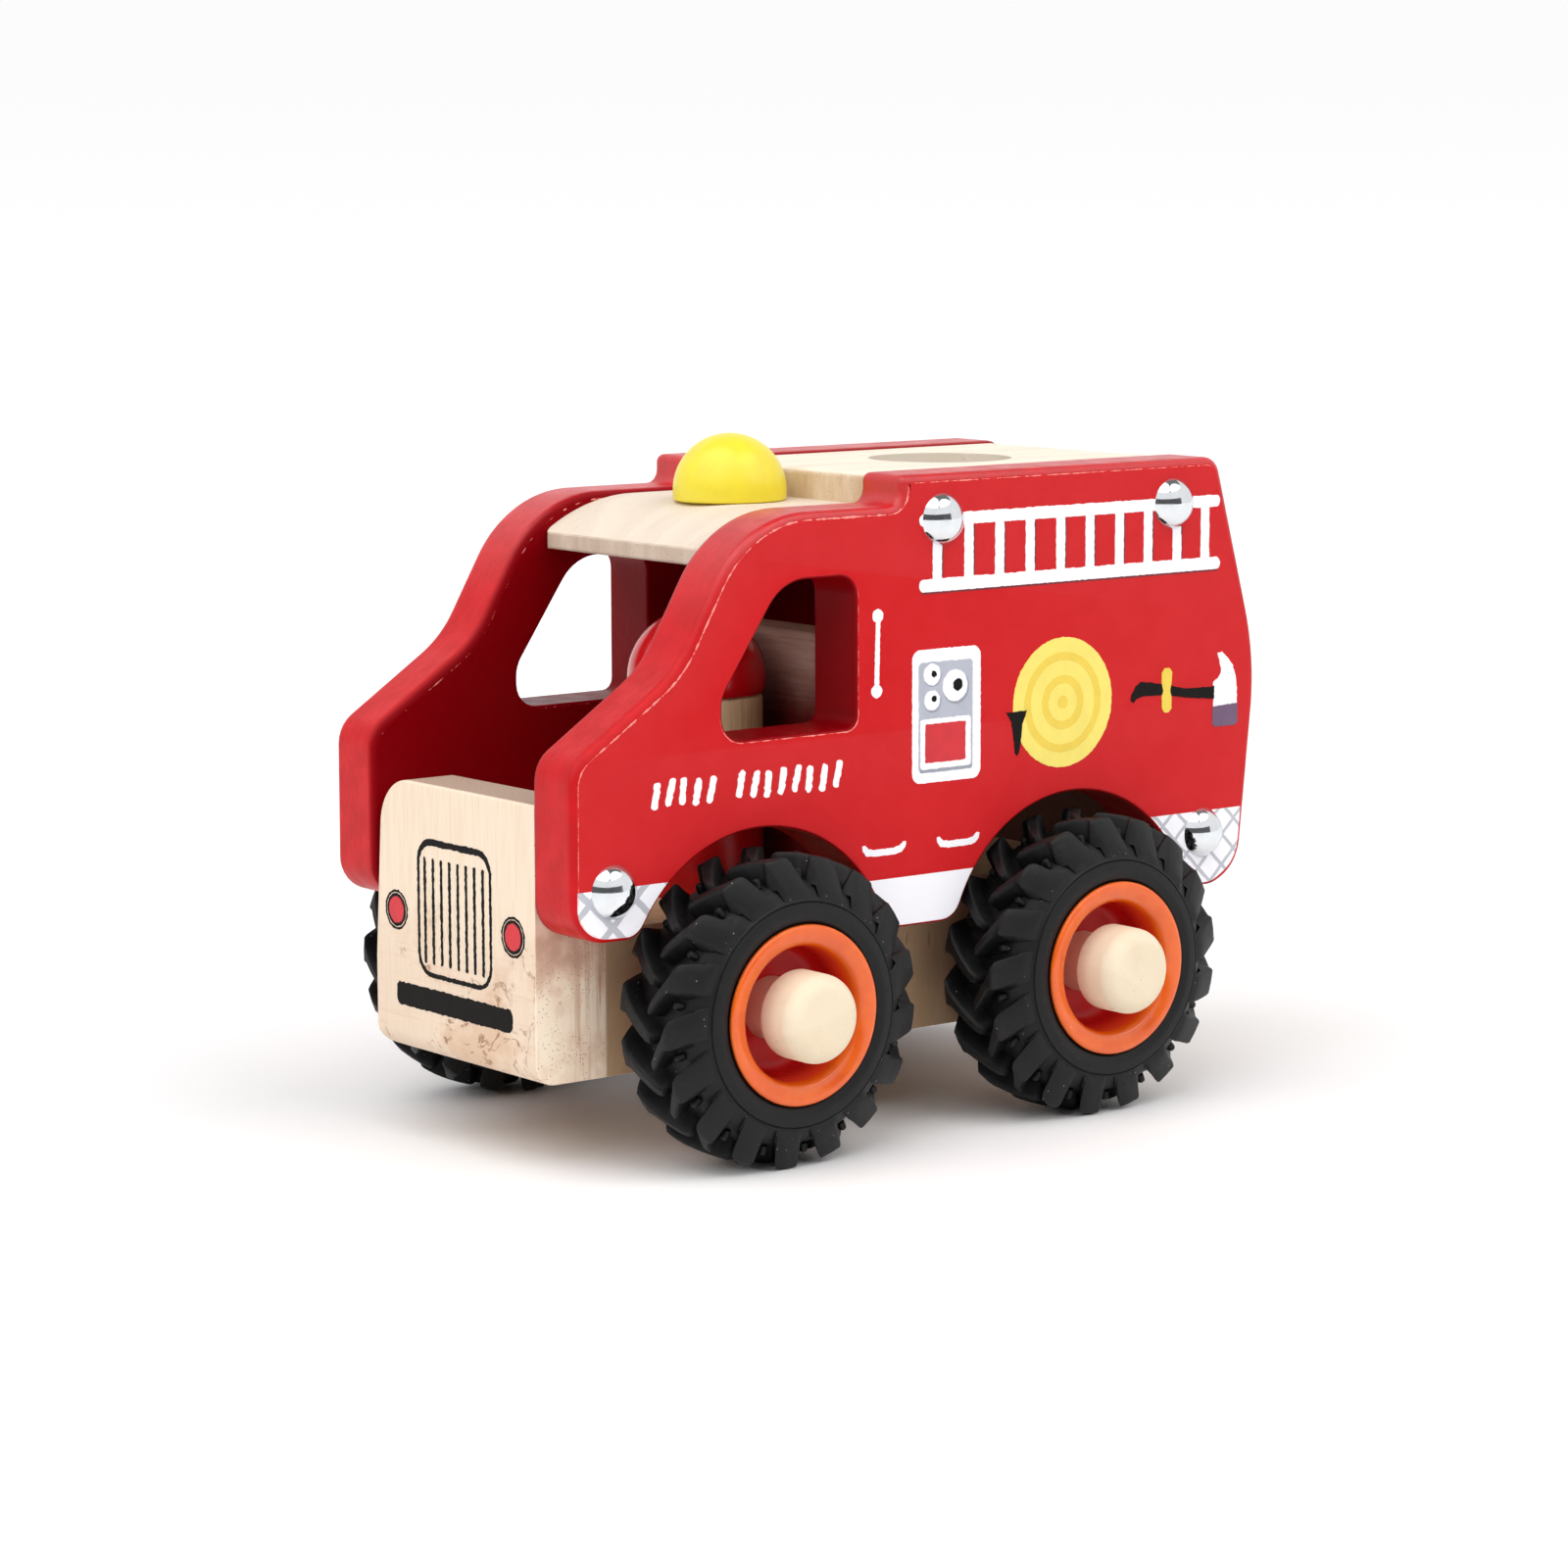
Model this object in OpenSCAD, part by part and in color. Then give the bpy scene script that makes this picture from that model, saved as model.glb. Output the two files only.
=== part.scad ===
// Toy fire engine. Two painted side panels are bolted to plain wooden boards and a
// chassis block, two turning axles carry four rubber-tyred wheels, and a loose peg
// driver stands in a socket in the cab floor.
// Origin: on the ground, under the middle of the body. +X is the left side,
// -Y is the front and +Z is up.

/* [Body] */
// Length of the body, which is the length of a side panel
body_len = 129; // [128:0.5:132]
// Width of everything between the two side panels
inner_w = 41; // [38:0.5:46]
// Thickness of a side panel
panel_t = 9.8; // [8:0.1:11]
// Height of the underside of the body
clearance = 12.8; // [11:0.1:14]
// Height of the raised rear part of the panels
top_z = 96.6; // [95:0.1:99]
// Height of the panels over the cab
cab_z = 92.3; // [91:0.1:93]
// Height of the corner where the bonnet starts
bonnet_z = 59.2; // [57:0.1:61]
// Height of the panel's lower edge between and behind the wheels
belly_z = 30.7; // [29:0.1:32]
// Height of the panel's lower edge ahead of the front wheels
front_lobe_z = 34.2; // [33:0.1:35]

/* [Boards, chassis and roof] */
// Thickness of the front board and the rear board
board_t = 12; // [10:0.5:14]
// Height of the front board
front_board_z = 52.9; // [50:0.1:55]
// Height of the cab floor, the top of the chassis block
floor_z = 34; // [33:0.5:38]
// Height of the partition behind the driver
partition_z = 72.6; // [68:0.1:78]
// Thickness of the partition
partition_t = 8; // [5:0.5:12]
// Height of the underside of the roof
ceiling_z = 84.2; // [83:0.1:85]
// Height of the top of the rear deck
deck_z = 96.2; // [94:0.1:96.5]
// Diameter of the hole in the rear deck
deck_hole_d = 22; // [20:0.5:26]

/* [Wheels] */
// Distance between the two axles
wheelbase = 59; // [58:0.5:60]
// Outer diameter of a tyre
tyre_d = 45; // [44:0.1:45.6]
// Diameter of a wooden axle
axle_d = 12.8; // [12:0.1:14]
// Diameter of the neck turned behind each head of an axle
axle_neck_d = 9; // [8:0.5:11]
// Length of a wooden axle, the widest part of the toy
axle_len = 93.2; // [92:0.1:96]
// Number of lugs round a tyre in each of its two rows
lug_count = 17; // [15:1:20]

/* [Driver and beacon] */
// Diameter of the driver's body
driver_d = 19.6; // [16:0.1:21]
// Height of the top of the driver's helmet
helmet_z = 76; // [74:0.1:76.5]
// Depth of the driver's socket
socket_depth = 4; // [3:0.5:4]
// Diameter of the beacon
beacon_d = 16.9; // [14:0.1:20]

/* [Fits] */
// Radial clearance of an axle in its bore
axle_fit = 0.05; // [0.01:0.01:0.1]
// Radial clearance of the driver in the socket
driver_fit = 0.1; // [0.05:0.01:0.1]

/* [Hidden] */
$fn = 96;

red = "#c8342f";
bare_wood = "#e0c9a3";
pale_wood = "#ead9b8";
orange = "#e8692c";
black_rubber = "#2a2a2c";
yellow = "#f5dd1e";
chrome = "#d5d8dc";

past = 1;                               // how far a cutter runs past a face
half_w = inner_w / 2;
front_y = -body_len / 2;
rear_y = body_len / 2;
axle_z = tyre_d / 2;
axle_mid_y = -3.2;                      // the wheels sit a little forward
front_axle_y = axle_mid_y - wheelbase / 2;
rear_axle_y = axle_mid_y + wheelbase / 2;

// Wheel arches, centred just behind and above the axles
arch_r = 23.8;
arch_dy = 0.9;
arch_z = axle_z + 1.5;
arch_toe_r = 4;                         // rounding where an arch meets a lower edge

// Rear edge: two leaning straights with a wide bulge between them
bulge_r = 42;
bulge_z = 61.5;
lean_up = 15.6;
lean_down = 6;

// Boards, from the front board at the front to the rear board at the back
front_board_y = front_y + 0.4;
chassis_front_y = front_board_y + board_t;
rear_board_y = 59.1;
chassis_rear_y = rear_board_y - board_t;
partition_y = -9.2;
deck_front_y = -3.9;
deck_rear_y = 55.8;
deck_hole_y = rear_axle_y;

// Cab roof: a plate that curves down to a blunt nose
cab_roof_z = 91.7;
cab_roof_nose_y = -33.6;
cab_roof_curve_r = 28.5;
cab_roof_curve_y = -17.2;

// Dome-headed bolts: lower ones in the boards, upper ones in the deck
bolt_head_d = 7.3;
bolt_head_h = 3;
bolt_shank_r = 1.7;
bolt_hole_r = 1.9;
bolt_len = 22;
deck_bolt_z = 90.1;
BOLTS = [
    [front_board_y + board_t / 2, 41.4],
    [rear_board_y - board_t / 2, 39],
    [0.9, deck_bolt_z],
    [46.3, deck_bolt_z]
];

// Glued dowels hidden inside
dowel_r = 3;
dowel_reach = 6;                        // into each of the two pieces
board_dowel_x = 12;
board_dowel_z = 22;
roof_dowel_r = 2;
ROOF_DOWELS_Y = [-20, -9];
roof_dowel_z = (ceiling_z + cab_roof_z) / 2;

// Wheel, measured along the axle from the middle of the toy
rim_lip_x = 41.7;
rim_lip_r = 13.1;
rim_lip_t = 0.8;
rim_mouth_r = 9.9;
rim_floor_x = 33;
rim_barrel_r = 12;
rim_inner_x = 25;
rim_boss_r = 8.5;
rim_boss_x = half_w + 0.8;
head_x = 39.2;                          // inner end of an axle's head
head_r = 2.4;
tyre_base_r = 19.6;                     // tread between the lugs
tyre_inner_x = rim_inner_x + rim_lip_t;
tyre_outer_x = rim_lip_x - rim_lip_t;
tread_in_x = 26.8;
tread_out_x = 40.8;
tread_slope_x = 1.8;                    // sloping shoulders of the tread: along the axle
tread_slope_r = 2.1;                    // and down from its top
lug_w = 3;
lug_len = 7.5;
lug_angle = 40;
lug_root = 1.5;                         // how far a lug reaches into the carcass

driver_y = -20.5;
driver_z = floor_z - socket_depth;
helmet_r = 10.3;
helmet_base_z = 63.5;
tenon_r = 4;
tenon_h = 5;

beacon_y = -14.2;
beacon_base_h = 1.5;
beacon_dowel_z = cab_roof_z - dowel_reach;

// ---- Outlines as lists of points -------------------------------------------

// Points of a circular arc, about one a millimetre
function arc(c, r, a0, a1) =
    let (n = max(4, ceil(abs(a1 - a0) * r / 57)))
    [for (i = [0:n]) c + r * [cos(a0 + (a1 - a0) * i / n), sin(a0 + (a1 - a0) * i / n)]];

function unit(v) = v / norm(v);
function angle(v) = atan2(v[1], v[0]);

// Corner b, between a and c, rounded with radius r
function rounded_corner(a, b, c, r) =
    let (
        u = unit(a - b),
        v = unit(c - b),
        half = acos(u * v) / 2,
        centre = b + unit(u + v) * r / sin(half),
        a0 = angle(b + u * r / tan(half) - centre),
        a1 = angle(b + v * r / tan(half) - centre),
        turn = (a1 - a0 + 540) % 360 - 180
    )
    arc(centre, r, a0, a0 + turn);

// Outline through corners [x, y, radius]; a radius of 0 keeps the corner sharp
function rounded_outline(p) =
    [for (i = [0:len(p) - 1])
        let (
            a = p[(i + len(p) - 1) % len(p)],
            b = p[i],
            c = p[(i + 1) % len(p)]
        )
        each b[2] == 0 ? [[b[0], b[1]]]
            : rounded_corner([a[0], a[1]], [b[0], b[1]], [c[0], c[1]], b[2])];

// Where a lower edge at height z turns into an arch: side is -1 for the arch's
// front end and 1 for its rear end
function toe_centre(arch_y, z, side) =
    [arch_y + side * sqrt(pow(arch_r + arch_toe_r, 2) - pow(z + arch_toe_r - arch_z, 2)), z + arch_toe_r];

// One wheel arch from front to rear, with both ends rounded
function arch_points(arch_y, z_front, z_rear) =
    let (
        c = [arch_y, arch_z],
        f = toe_centre(arch_y, z_front, -1),
        r = toe_centre(arch_y, z_rear, 1),
        a_front = angle(f - c),
        a_rear = angle(r - c)
    )
    concat(
        arc(f, arch_toe_r, -90, a_front - 180),
        arc(c, arch_r, a_front, a_rear),
        arc(r, arch_toe_r, a_rear + 180, 270)
    );

// Side panel: upper edge from the front lobe over the cab to the rear corner
bulge_c = [rear_y - bulge_r, bulge_z];
bulge_half = (lean_up + lean_down) / 2;
bulge_mid = (lean_up - lean_down) / 2;
bulge_top = bulge_c + bulge_r * [cos(lean_up), sin(lean_up)];
bulge_low = bulge_c + bulge_r * [cos(lean_down), -sin(lean_down)];
bulge_corner = bulge_c + bulge_r / cos(bulge_half) * [cos(bulge_mid), sin(bulge_mid)];
rear_top_y = bulge_top[0] - (top_z - bulge_top[1]) * tan(lean_up);
rear_low_y = bulge_low[0] - (bulge_low[1] - belly_z) * tan(lean_down);
step_y = -6;

UPPER = [
    [front_y + 20, front_lobe_z, 0],
    [front_y, front_lobe_z, 5.5],
    [front_y, bonnet_z, 5],
    [-46.2, 71.2, 18],
    [-33.9, cab_z, 19],
    [step_y, cab_z, 2],
    [step_y, top_z, 1.2],
    [rear_top_y, top_z, 3],
    [bulge_corner[0], bulge_corner[1], bulge_r],
    [rear_low_y, belly_z, 7],
    [rear_low_y - 20, belly_z, 0]
];
upper_points = rounded_outline(UPPER);

function reversed(p) = [for (i = [len(p) - 1:-1:0]) p[i]];

panel_outline = concat(
    [for (i = [1:len(upper_points) - 2]) upper_points[i]],
    reversed(arch_points(rear_axle_y + arch_dy, belly_z, belly_z)),
    reversed(arch_points(front_axle_y + arch_dy, front_lobe_z, belly_z))
);

WINDOW = [
    [-38.6, 60.6, 3.5],
    [-38.6, 66.8, 5],
    [-27.7, 82.7, 8],
    [-14.5, 82.7, 3],
    [-14.5, 60.7, 1.8]
];

// ---- Shapes used by several pieces -----------------------------------------

// Extrudes a side view (y, z) across the toy, from x0 to x1
module across(x0, x1) {
    translate([x0, 0, 0])
        rotate([90, 0, 90])
            linear_extrude(x1 - x0)
                children();
}

// Extrudes a front view (x, z) along the toy, from y0 to y1
module along(y0, y1) {
    translate([0, y1, 0])
        rotate([90, 0, 0])
            linear_extrude(y1 - y0)
                children();
}

// Cylinder along X, from x0 to x1
module rod_x(x0, x1, y, z, r) {
    translate([x0, y, z])
        rotate([0, 90, 0])
            cylinder(h = x1 - x0, r = r);
}

// Cylinder along Y, from y0 to y1
module rod_y(y0, y1, x, z, r) {
    translate([x, y1, z])
        rotate([90, 0, 0])
            cylinder(h = y1 - y0, r = r);
}

// Turned profile (radius, x), spun round the X axis at an axle
module turned_on_axle(y) {
    translate([0, y, axle_z])
        rotate([0, 90, 0])
            rotate_extrude()
                children();
}

// Builds a left-hand piece, or its mirror image on the right
module on_side(side) {
    mirror([side < 0 ? 1 : 0, 0, 0])
        children();
}

module bolt_holes(points, x0, r) {
    for (p = points)
        for (side = [-1, 1])
            on_side(side)
                rod_x(x0, half_w + panel_t + past, p[0], p[1], r);
}

// ---- Side panels -----------------------------------------------------------

module side_panel(side) {
    color(red)
        on_side(side)
            difference() {
                across(half_w, half_w + panel_t)
                    difference() {
                        polygon(panel_outline);
                        polygon(rounded_outline(WINDOW));
                    }
                for (p = BOLTS)
                    rod_x(half_w - past, half_w + panel_t + past, p[0], p[1], bolt_hole_r);
                for (y = ROOF_DOWELS_Y)
                    rod_x(half_w - past, half_w + dowel_reach, y, roof_dowel_z, roof_dowel_r);
            }
}

module side_panel_left() { side_panel(1); }
module side_panel_right() { side_panel(-1); }

// ---- Boards, chassis and partition -----------------------------------------

// In the front view the right-hand edge leans in towards a rounded top corner; in
// the side view the foot and the edge towards the cab are rounded
module front_board() {
    lean = 2;
    lean_z = 26;
    top_r = 7.5;
    foot_r = 3;
    ease_r = 4.4;
    color(bare_wood)
        difference() {
            intersection() {
                along(front_board_y, chassis_front_y)
                    polygon(rounded_outline([
                        [-half_w, clearance, foot_r],
                        [half_w, clearance, 0],
                        [half_w, front_board_z, 0.5],
                        [-half_w + lean, front_board_z, top_r],
                        [-half_w, lean_z, 0]
                    ]));
                across(-half_w, half_w)
                    polygon(rounded_outline([
                        [front_board_y, clearance, foot_r],
                        [chassis_front_y, clearance, 0],
                        [chassis_front_y, front_board_z, ease_r],
                        [front_board_y, front_board_z, 0.5]
                    ]));
            }
            bolt_holes([BOLTS[0]], half_w + panel_t - bolt_len, bolt_shank_r);
            board_dowel_holes(chassis_front_y);
        }
}

module rear_board() {
    tail_r = 3.2;
    color(bare_wood)
        difference() {
            across(-half_w, half_w)
                polygon(rounded_outline([
                    [chassis_rear_y, clearance, 0],
                    [rear_board_y, clearance, tail_r],
                    [rear_board_y, ceiling_z, 1.5],
                    [chassis_rear_y, ceiling_z, 0]
                ]));
            bolt_holes([BOLTS[1]], half_w + panel_t - bolt_len, bolt_shank_r);
            board_dowel_holes(chassis_rear_y);
        }
}

// Pair of blind holes either side of the joint at y
module board_dowel_holes(y) {
    for (x = [-board_dowel_x, board_dowel_x])
        rod_y(y - dowel_reach, y + dowel_reach, x, board_dowel_z, dowel_r);
}

// Floor of the toy: holds both axles and the driver's socket
module chassis_block() {
    color(bare_wood)
        difference() {
            translate([-half_w, chassis_front_y, clearance])
                cube([inner_w, chassis_rear_y - chassis_front_y, floor_z - clearance]);
            for (y = [front_axle_y, rear_axle_y])
                rod_x(-half_w - past, half_w + past, y, axle_z, axle_d / 2 + axle_fit);
            translate([0, driver_y, driver_z])
                cylinder(h = socket_depth + past, r = driver_d / 2 + driver_fit);
            board_dowel_holes(chassis_front_y);
            board_dowel_holes(chassis_rear_y);
        }
}

// Partition between the cab and the rear compartment, standing on the chassis block
module partition() {
    top_r = 1;
    back_y = partition_y + partition_t;
    color(bare_wood)
        across(-half_w, half_w)
            polygon(rounded_outline([
                [partition_y, floor_z, 0],
                [back_y, floor_z, 0],
                [back_y, partition_z, top_r],
                [partition_y, partition_z, top_r]
            ]));
}

// ---- Roof ------------------------------------------------------------------

module cab_roof() {
    plan_r = 1.5;
    edge_r = 0.5;
    nose_turn = asin((cab_roof_curve_y - cab_roof_nose_y) / cab_roof_curve_r);
    color(pale_wood)
        difference() {
            intersection() {
                across(-half_w, half_w)
                    polygon(concat(
                        [[deck_front_y, ceiling_z], [deck_front_y, cab_roof_z]],
                        arc([cab_roof_curve_y, cab_roof_z - cab_roof_curve_r], cab_roof_curve_r,
                            90, 90 + nose_turn),
                        arc([cab_roof_nose_y + edge_r, ceiling_z + edge_r], edge_r, 180, 270)
                    ));
                linear_extrude(top_z)
                    polygon(rounded_outline([
                        [-half_w, cab_roof_nose_y, plan_r],
                        [half_w, cab_roof_nose_y, plan_r],
                        [half_w, deck_front_y, 0],
                        [-half_w, deck_front_y, 0]
                    ]));
            }
            translate([0, beacon_y, beacon_dowel_z])
                cylinder(h = dowel_reach + past, r = dowel_r);
            for (y = ROOF_DOWELS_Y)
                for (side = [-1, 1])
                    on_side(side)
                        rod_x(half_w - dowel_reach, half_w + past, y, roof_dowel_z, roof_dowel_r);
        }
}

module roof_deck() {
    edge_r = 1;
    color(pale_wood)
        difference() {
            across(-half_w, half_w)
                polygon(rounded_outline([
                    [deck_front_y, ceiling_z, 0],
                    [deck_rear_y, ceiling_z, 0],
                    [deck_rear_y, deck_z, 2],
                    [deck_front_y, deck_z, edge_r]
                ]));
            translate([0, deck_hole_y, ceiling_z - past])
                cylinder(h = deck_z - ceiling_z + 2 * past, d = deck_hole_d);
            bolt_holes([BOLTS[2], BOLTS[3]], half_w + panel_t - bolt_len, bolt_shank_r);
        }
}

module beacon() {
    color(yellow)
        difference() {
            translate([0, beacon_y, cab_roof_z])
                union() {
                    cylinder(h = beacon_base_h, d = beacon_d);
                    intersection() {
                        translate([0, 0, beacon_base_h])
                            sphere(d = beacon_d);
                        cylinder(h = beacon_d, d = 2 * beacon_d);
                    }
                }
            translate([0, beacon_y, cab_roof_z - past])
                cylinder(h = dowel_reach + past, r = dowel_r);
        }
}

module beacon_dowel() {
    color(bare_wood)
        translate([0, beacon_y, beacon_dowel_z])
            cylinder(h = 2 * dowel_reach, r = dowel_r);
}

module cab_roof_dowels() {
    color(bare_wood)
        for (y = ROOF_DOWELS_Y)
            for (side = [-1, 1])
                on_side(side)
                    rod_x(half_w - dowel_reach, half_w + dowel_reach, y, roof_dowel_z, roof_dowel_r);
}

// ---- Dowels and bolts ------------------------------------------------------

module front_board_dowels() {
    color(bare_wood)
        board_dowel_holes(chassis_front_y);
}

module rear_board_dowels() {
    color(bare_wood)
        board_dowel_holes(chassis_rear_y);
}

module panel_bolts(side) {
    dome_r = (pow(bolt_head_d / 2, 2) + pow(bolt_head_h, 2)) / (2 * bolt_head_h);
    face_x = half_w + panel_t;
    dome_c = [0, face_x + bolt_head_h - dome_r];
    color(chrome)
        on_side(side)
            for (p = BOLTS)
                translate([0, p[0], p[1]])
                    rotate([0, 90, 0])
                        rotate_extrude()
                            polygon(concat(
                                [
                                    [0, face_x - bolt_len],
                                    [bolt_shank_r, face_x - bolt_len],
                                    [bolt_shank_r, face_x]
                                ],
                                arc(dome_c, dome_r, asin((dome_r - bolt_head_h) / dome_r), 90)
                            ));
}

module panel_bolts_left() { panel_bolts(1); }
module panel_bolts_right() { panel_bolts(-1); }

// ---- Driver ----------------------------------------------------------------

module driver_body() {
    ease = 0.6;
    r = driver_d / 2;
    color(pale_wood)
        translate([0, driver_y, 0])
            rotate_extrude()
                polygon([
                    [0, driver_z],
                    [r - ease, driver_z],
                    [r, driver_z + ease],
                    [r, helmet_base_z - ease],
                    [r - ease, helmet_base_z],
                    [tenon_r, helmet_base_z],
                    [tenon_r, helmet_base_z + tenon_h],
                    [0, helmet_base_z + tenon_h]
                ]);
}

module driver_helmet() {
    color(red)
        translate([0, driver_y, 0])
            difference() {
                intersection() {
                    translate([0, 0, helmet_z - helmet_r])
                        sphere(r = helmet_r);
                    translate([0, 0, helmet_base_z])
                        cylinder(h = 2 * helmet_r, r = 2 * helmet_r);
                }
                translate([0, 0, helmet_base_z - past])
                    cylinder(h = tenon_h + past, r = tenon_r);
            }
}

// ---- Wheels ----------------------------------------------------------------

// Wooden axle: a rounded head shows in the middle of each wheel, with a neck behind
module axle(y) {
    r = axle_d / 2;
    neck_r = axle_neck_d / 2;
    end = axle_len / 2;
    color(pale_wood)
        turned_on_axle(y)
            polygon(rounded_outline([
                [0, -end, 0],
                [r, -end, head_r],
                [r, -head_x, 0.4],
                [neck_r, -head_x, 0],
                [neck_r, -rim_floor_x, 0],
                [r, -rim_floor_x, 0],
                [r, rim_floor_x, 0],
                [neck_r, rim_floor_x, 0],
                [neck_r, head_x, 0],
                [r, head_x, 0.4],
                [r, end, head_r],
                [0, end, 0]
            ]));
}

module front_axle() { axle(front_axle_y); }
module rear_axle() { axle(rear_axle_y); }

// Plastic rim: a boss and web on the axle, a barrel for the tyre, a flange on the
// inside, and a lip round a deep dished front
module rim(side, y) {
    bore_r = axle_d / 2;
    dish_r = 3;
    funnel_r = 2.4;
    color(orange)
        on_side(side)
            turned_on_axle(y)
                polygon(rounded_outline([
                    [bore_r, rim_boss_x, 0],
                    [rim_boss_r, rim_boss_x, 0],
                    [rim_boss_r, rim_inner_x, 0],
                    [rim_lip_r, rim_inner_x, 0.3],
                    [rim_lip_r, tyre_inner_x, 0.3],
                    [rim_barrel_r, tyre_inner_x, 0],
                    [rim_barrel_r, tyre_outer_x, 0],
                    [rim_lip_r, tyre_outer_x, 0.3],
                    [rim_lip_r, rim_lip_x, 0.6],
                    [rim_mouth_r, rim_lip_x, funnel_r],
                    [rim_mouth_r - 0.6, rim_floor_x, dish_r],
                    [bore_r, rim_floor_x, 0]
                ]));
}

// One block of the tread, at angle a, leaning by lean degrees
module lug(a, x, lean) {
    rotate([0, 0, a])
        translate([(tyre_base_r + tyre_d / 2) / 2, 0, x])
            rotate([lean, 0, 0])
                cube([tyre_d / 2 - tyre_base_r + 2 * lug_root, lug_w, lug_len], center = true);
}

// Rubber tyre: a smooth carcass with two staggered rows of leaning lugs
module tyre(side, y) {
    shoulder_r = 1.5;
    top_r = tyre_d / 2;
    pitch = 360 / lug_count;
    mid_x = (tread_in_x + tread_out_x) / 2;
    quarter = (tread_out_x - tread_in_x) / 4;
    color(black_rubber)
        on_side(side)
            union() {
                turned_on_axle(y)
                    polygon(rounded_outline([
                        [rim_barrel_r, tyre_inner_x, 0],
                        [tyre_base_r, tyre_inner_x, shoulder_r],
                        [tyre_base_r, tyre_outer_x, shoulder_r],
                        [rim_barrel_r, tyre_outer_x, 0]
                    ]));
                translate([0, y, axle_z])
                    rotate([0, 90, 0])
                        intersection() {
                            union()
                                for (i = [0:lug_count - 1]) {
                                    lug(i * pitch, mid_x + quarter, lug_angle);
                                    lug((i + 0.5) * pitch, mid_x - quarter, -lug_angle);
                                }
                            rotate_extrude()
                                polygon([
                                    [0, tread_in_x],
                                    [top_r - tread_slope_r, tread_in_x],
                                    [top_r, tread_in_x + tread_slope_x],
                                    [top_r, tread_out_x - tread_slope_x],
                                    [top_r - tread_slope_r, tread_out_x],
                                    [0, tread_out_x]
                                ]);
                        }
            }
}

module rim_front_left() { rim(1, front_axle_y); }
module rim_front_right() { rim(-1, front_axle_y); }
module rim_rear_left() { rim(1, rear_axle_y); }
module rim_rear_right() { rim(-1, rear_axle_y); }
module tyre_front_left() { tyre(1, front_axle_y); }
module tyre_front_right() { tyre(-1, front_axle_y); }
module tyre_rear_left() { tyre(1, rear_axle_y); }
module tyre_rear_right() { tyre(-1, rear_axle_y); }

// ---- The toy ---------------------------------------------------------------

side_panel_left();
side_panel_right();
front_board();
rear_board();
chassis_block();
partition();
cab_roof();
roof_deck();
beacon();
beacon_dowel();
cab_roof_dowels();
front_board_dowels();
rear_board_dowels();
panel_bolts_left();
panel_bolts_right();
driver_body();
driver_helmet();
front_axle();
rear_axle();
rim_front_left();
rim_front_right();
rim_rear_left();
rim_rear_right();
tyre_front_left();
tyre_front_right();
tyre_rear_left();
tyre_rear_right();
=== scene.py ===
"""The looks of the toy fire engine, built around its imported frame.

Lengths are millimetres in the row frame until a mesh is made. +X is the toy's left side, -Y its front, +Z up.
"""

import math

import bmesh
import bpy
from mathutils import Matrix, Vector, noise
from mathutils.geometry import tessellate_polygon


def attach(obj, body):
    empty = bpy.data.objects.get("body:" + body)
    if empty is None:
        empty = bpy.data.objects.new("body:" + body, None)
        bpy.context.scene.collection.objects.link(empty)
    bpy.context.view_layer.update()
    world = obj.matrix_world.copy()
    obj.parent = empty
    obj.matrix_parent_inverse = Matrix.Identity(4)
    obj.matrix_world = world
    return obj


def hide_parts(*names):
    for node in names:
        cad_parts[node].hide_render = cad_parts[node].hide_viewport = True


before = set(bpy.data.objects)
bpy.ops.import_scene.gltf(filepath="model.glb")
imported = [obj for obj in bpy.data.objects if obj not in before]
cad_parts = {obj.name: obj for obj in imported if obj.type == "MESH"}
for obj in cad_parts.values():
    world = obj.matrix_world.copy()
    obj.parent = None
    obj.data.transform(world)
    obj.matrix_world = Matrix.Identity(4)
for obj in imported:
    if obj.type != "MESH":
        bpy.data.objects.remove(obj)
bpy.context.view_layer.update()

MM = 0.001
FACE_X = 30.3  # outer face of a side panel
INNER_X = 20.5  # inner face of a side panel
BOARD_Y = -64.1  # front face of the front board
AXLES = {"front": -32.7, "rear": 26.3}
AXLE_Z = 22.5
BOLTS = [(-57.5, 41.2), (53.8, 38.9), (1.7, 89.9), (47.1, 89.9)]  # (y, z) on each side
BEACON_Y = -14.2
DRIVER_Y = -20.5


# ---- Node materials ---------------------------------------------------------


def linear(r, g, b):
    """Scene-linear colour from 0-255 display values."""
    shares = (r / 255, g / 255, b / 255)
    return tuple(c / 12.92 if c <= 0.04045 else ((c + 0.055) / 1.055) ** 2.4 for c in shares) + (1.0,)


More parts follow.
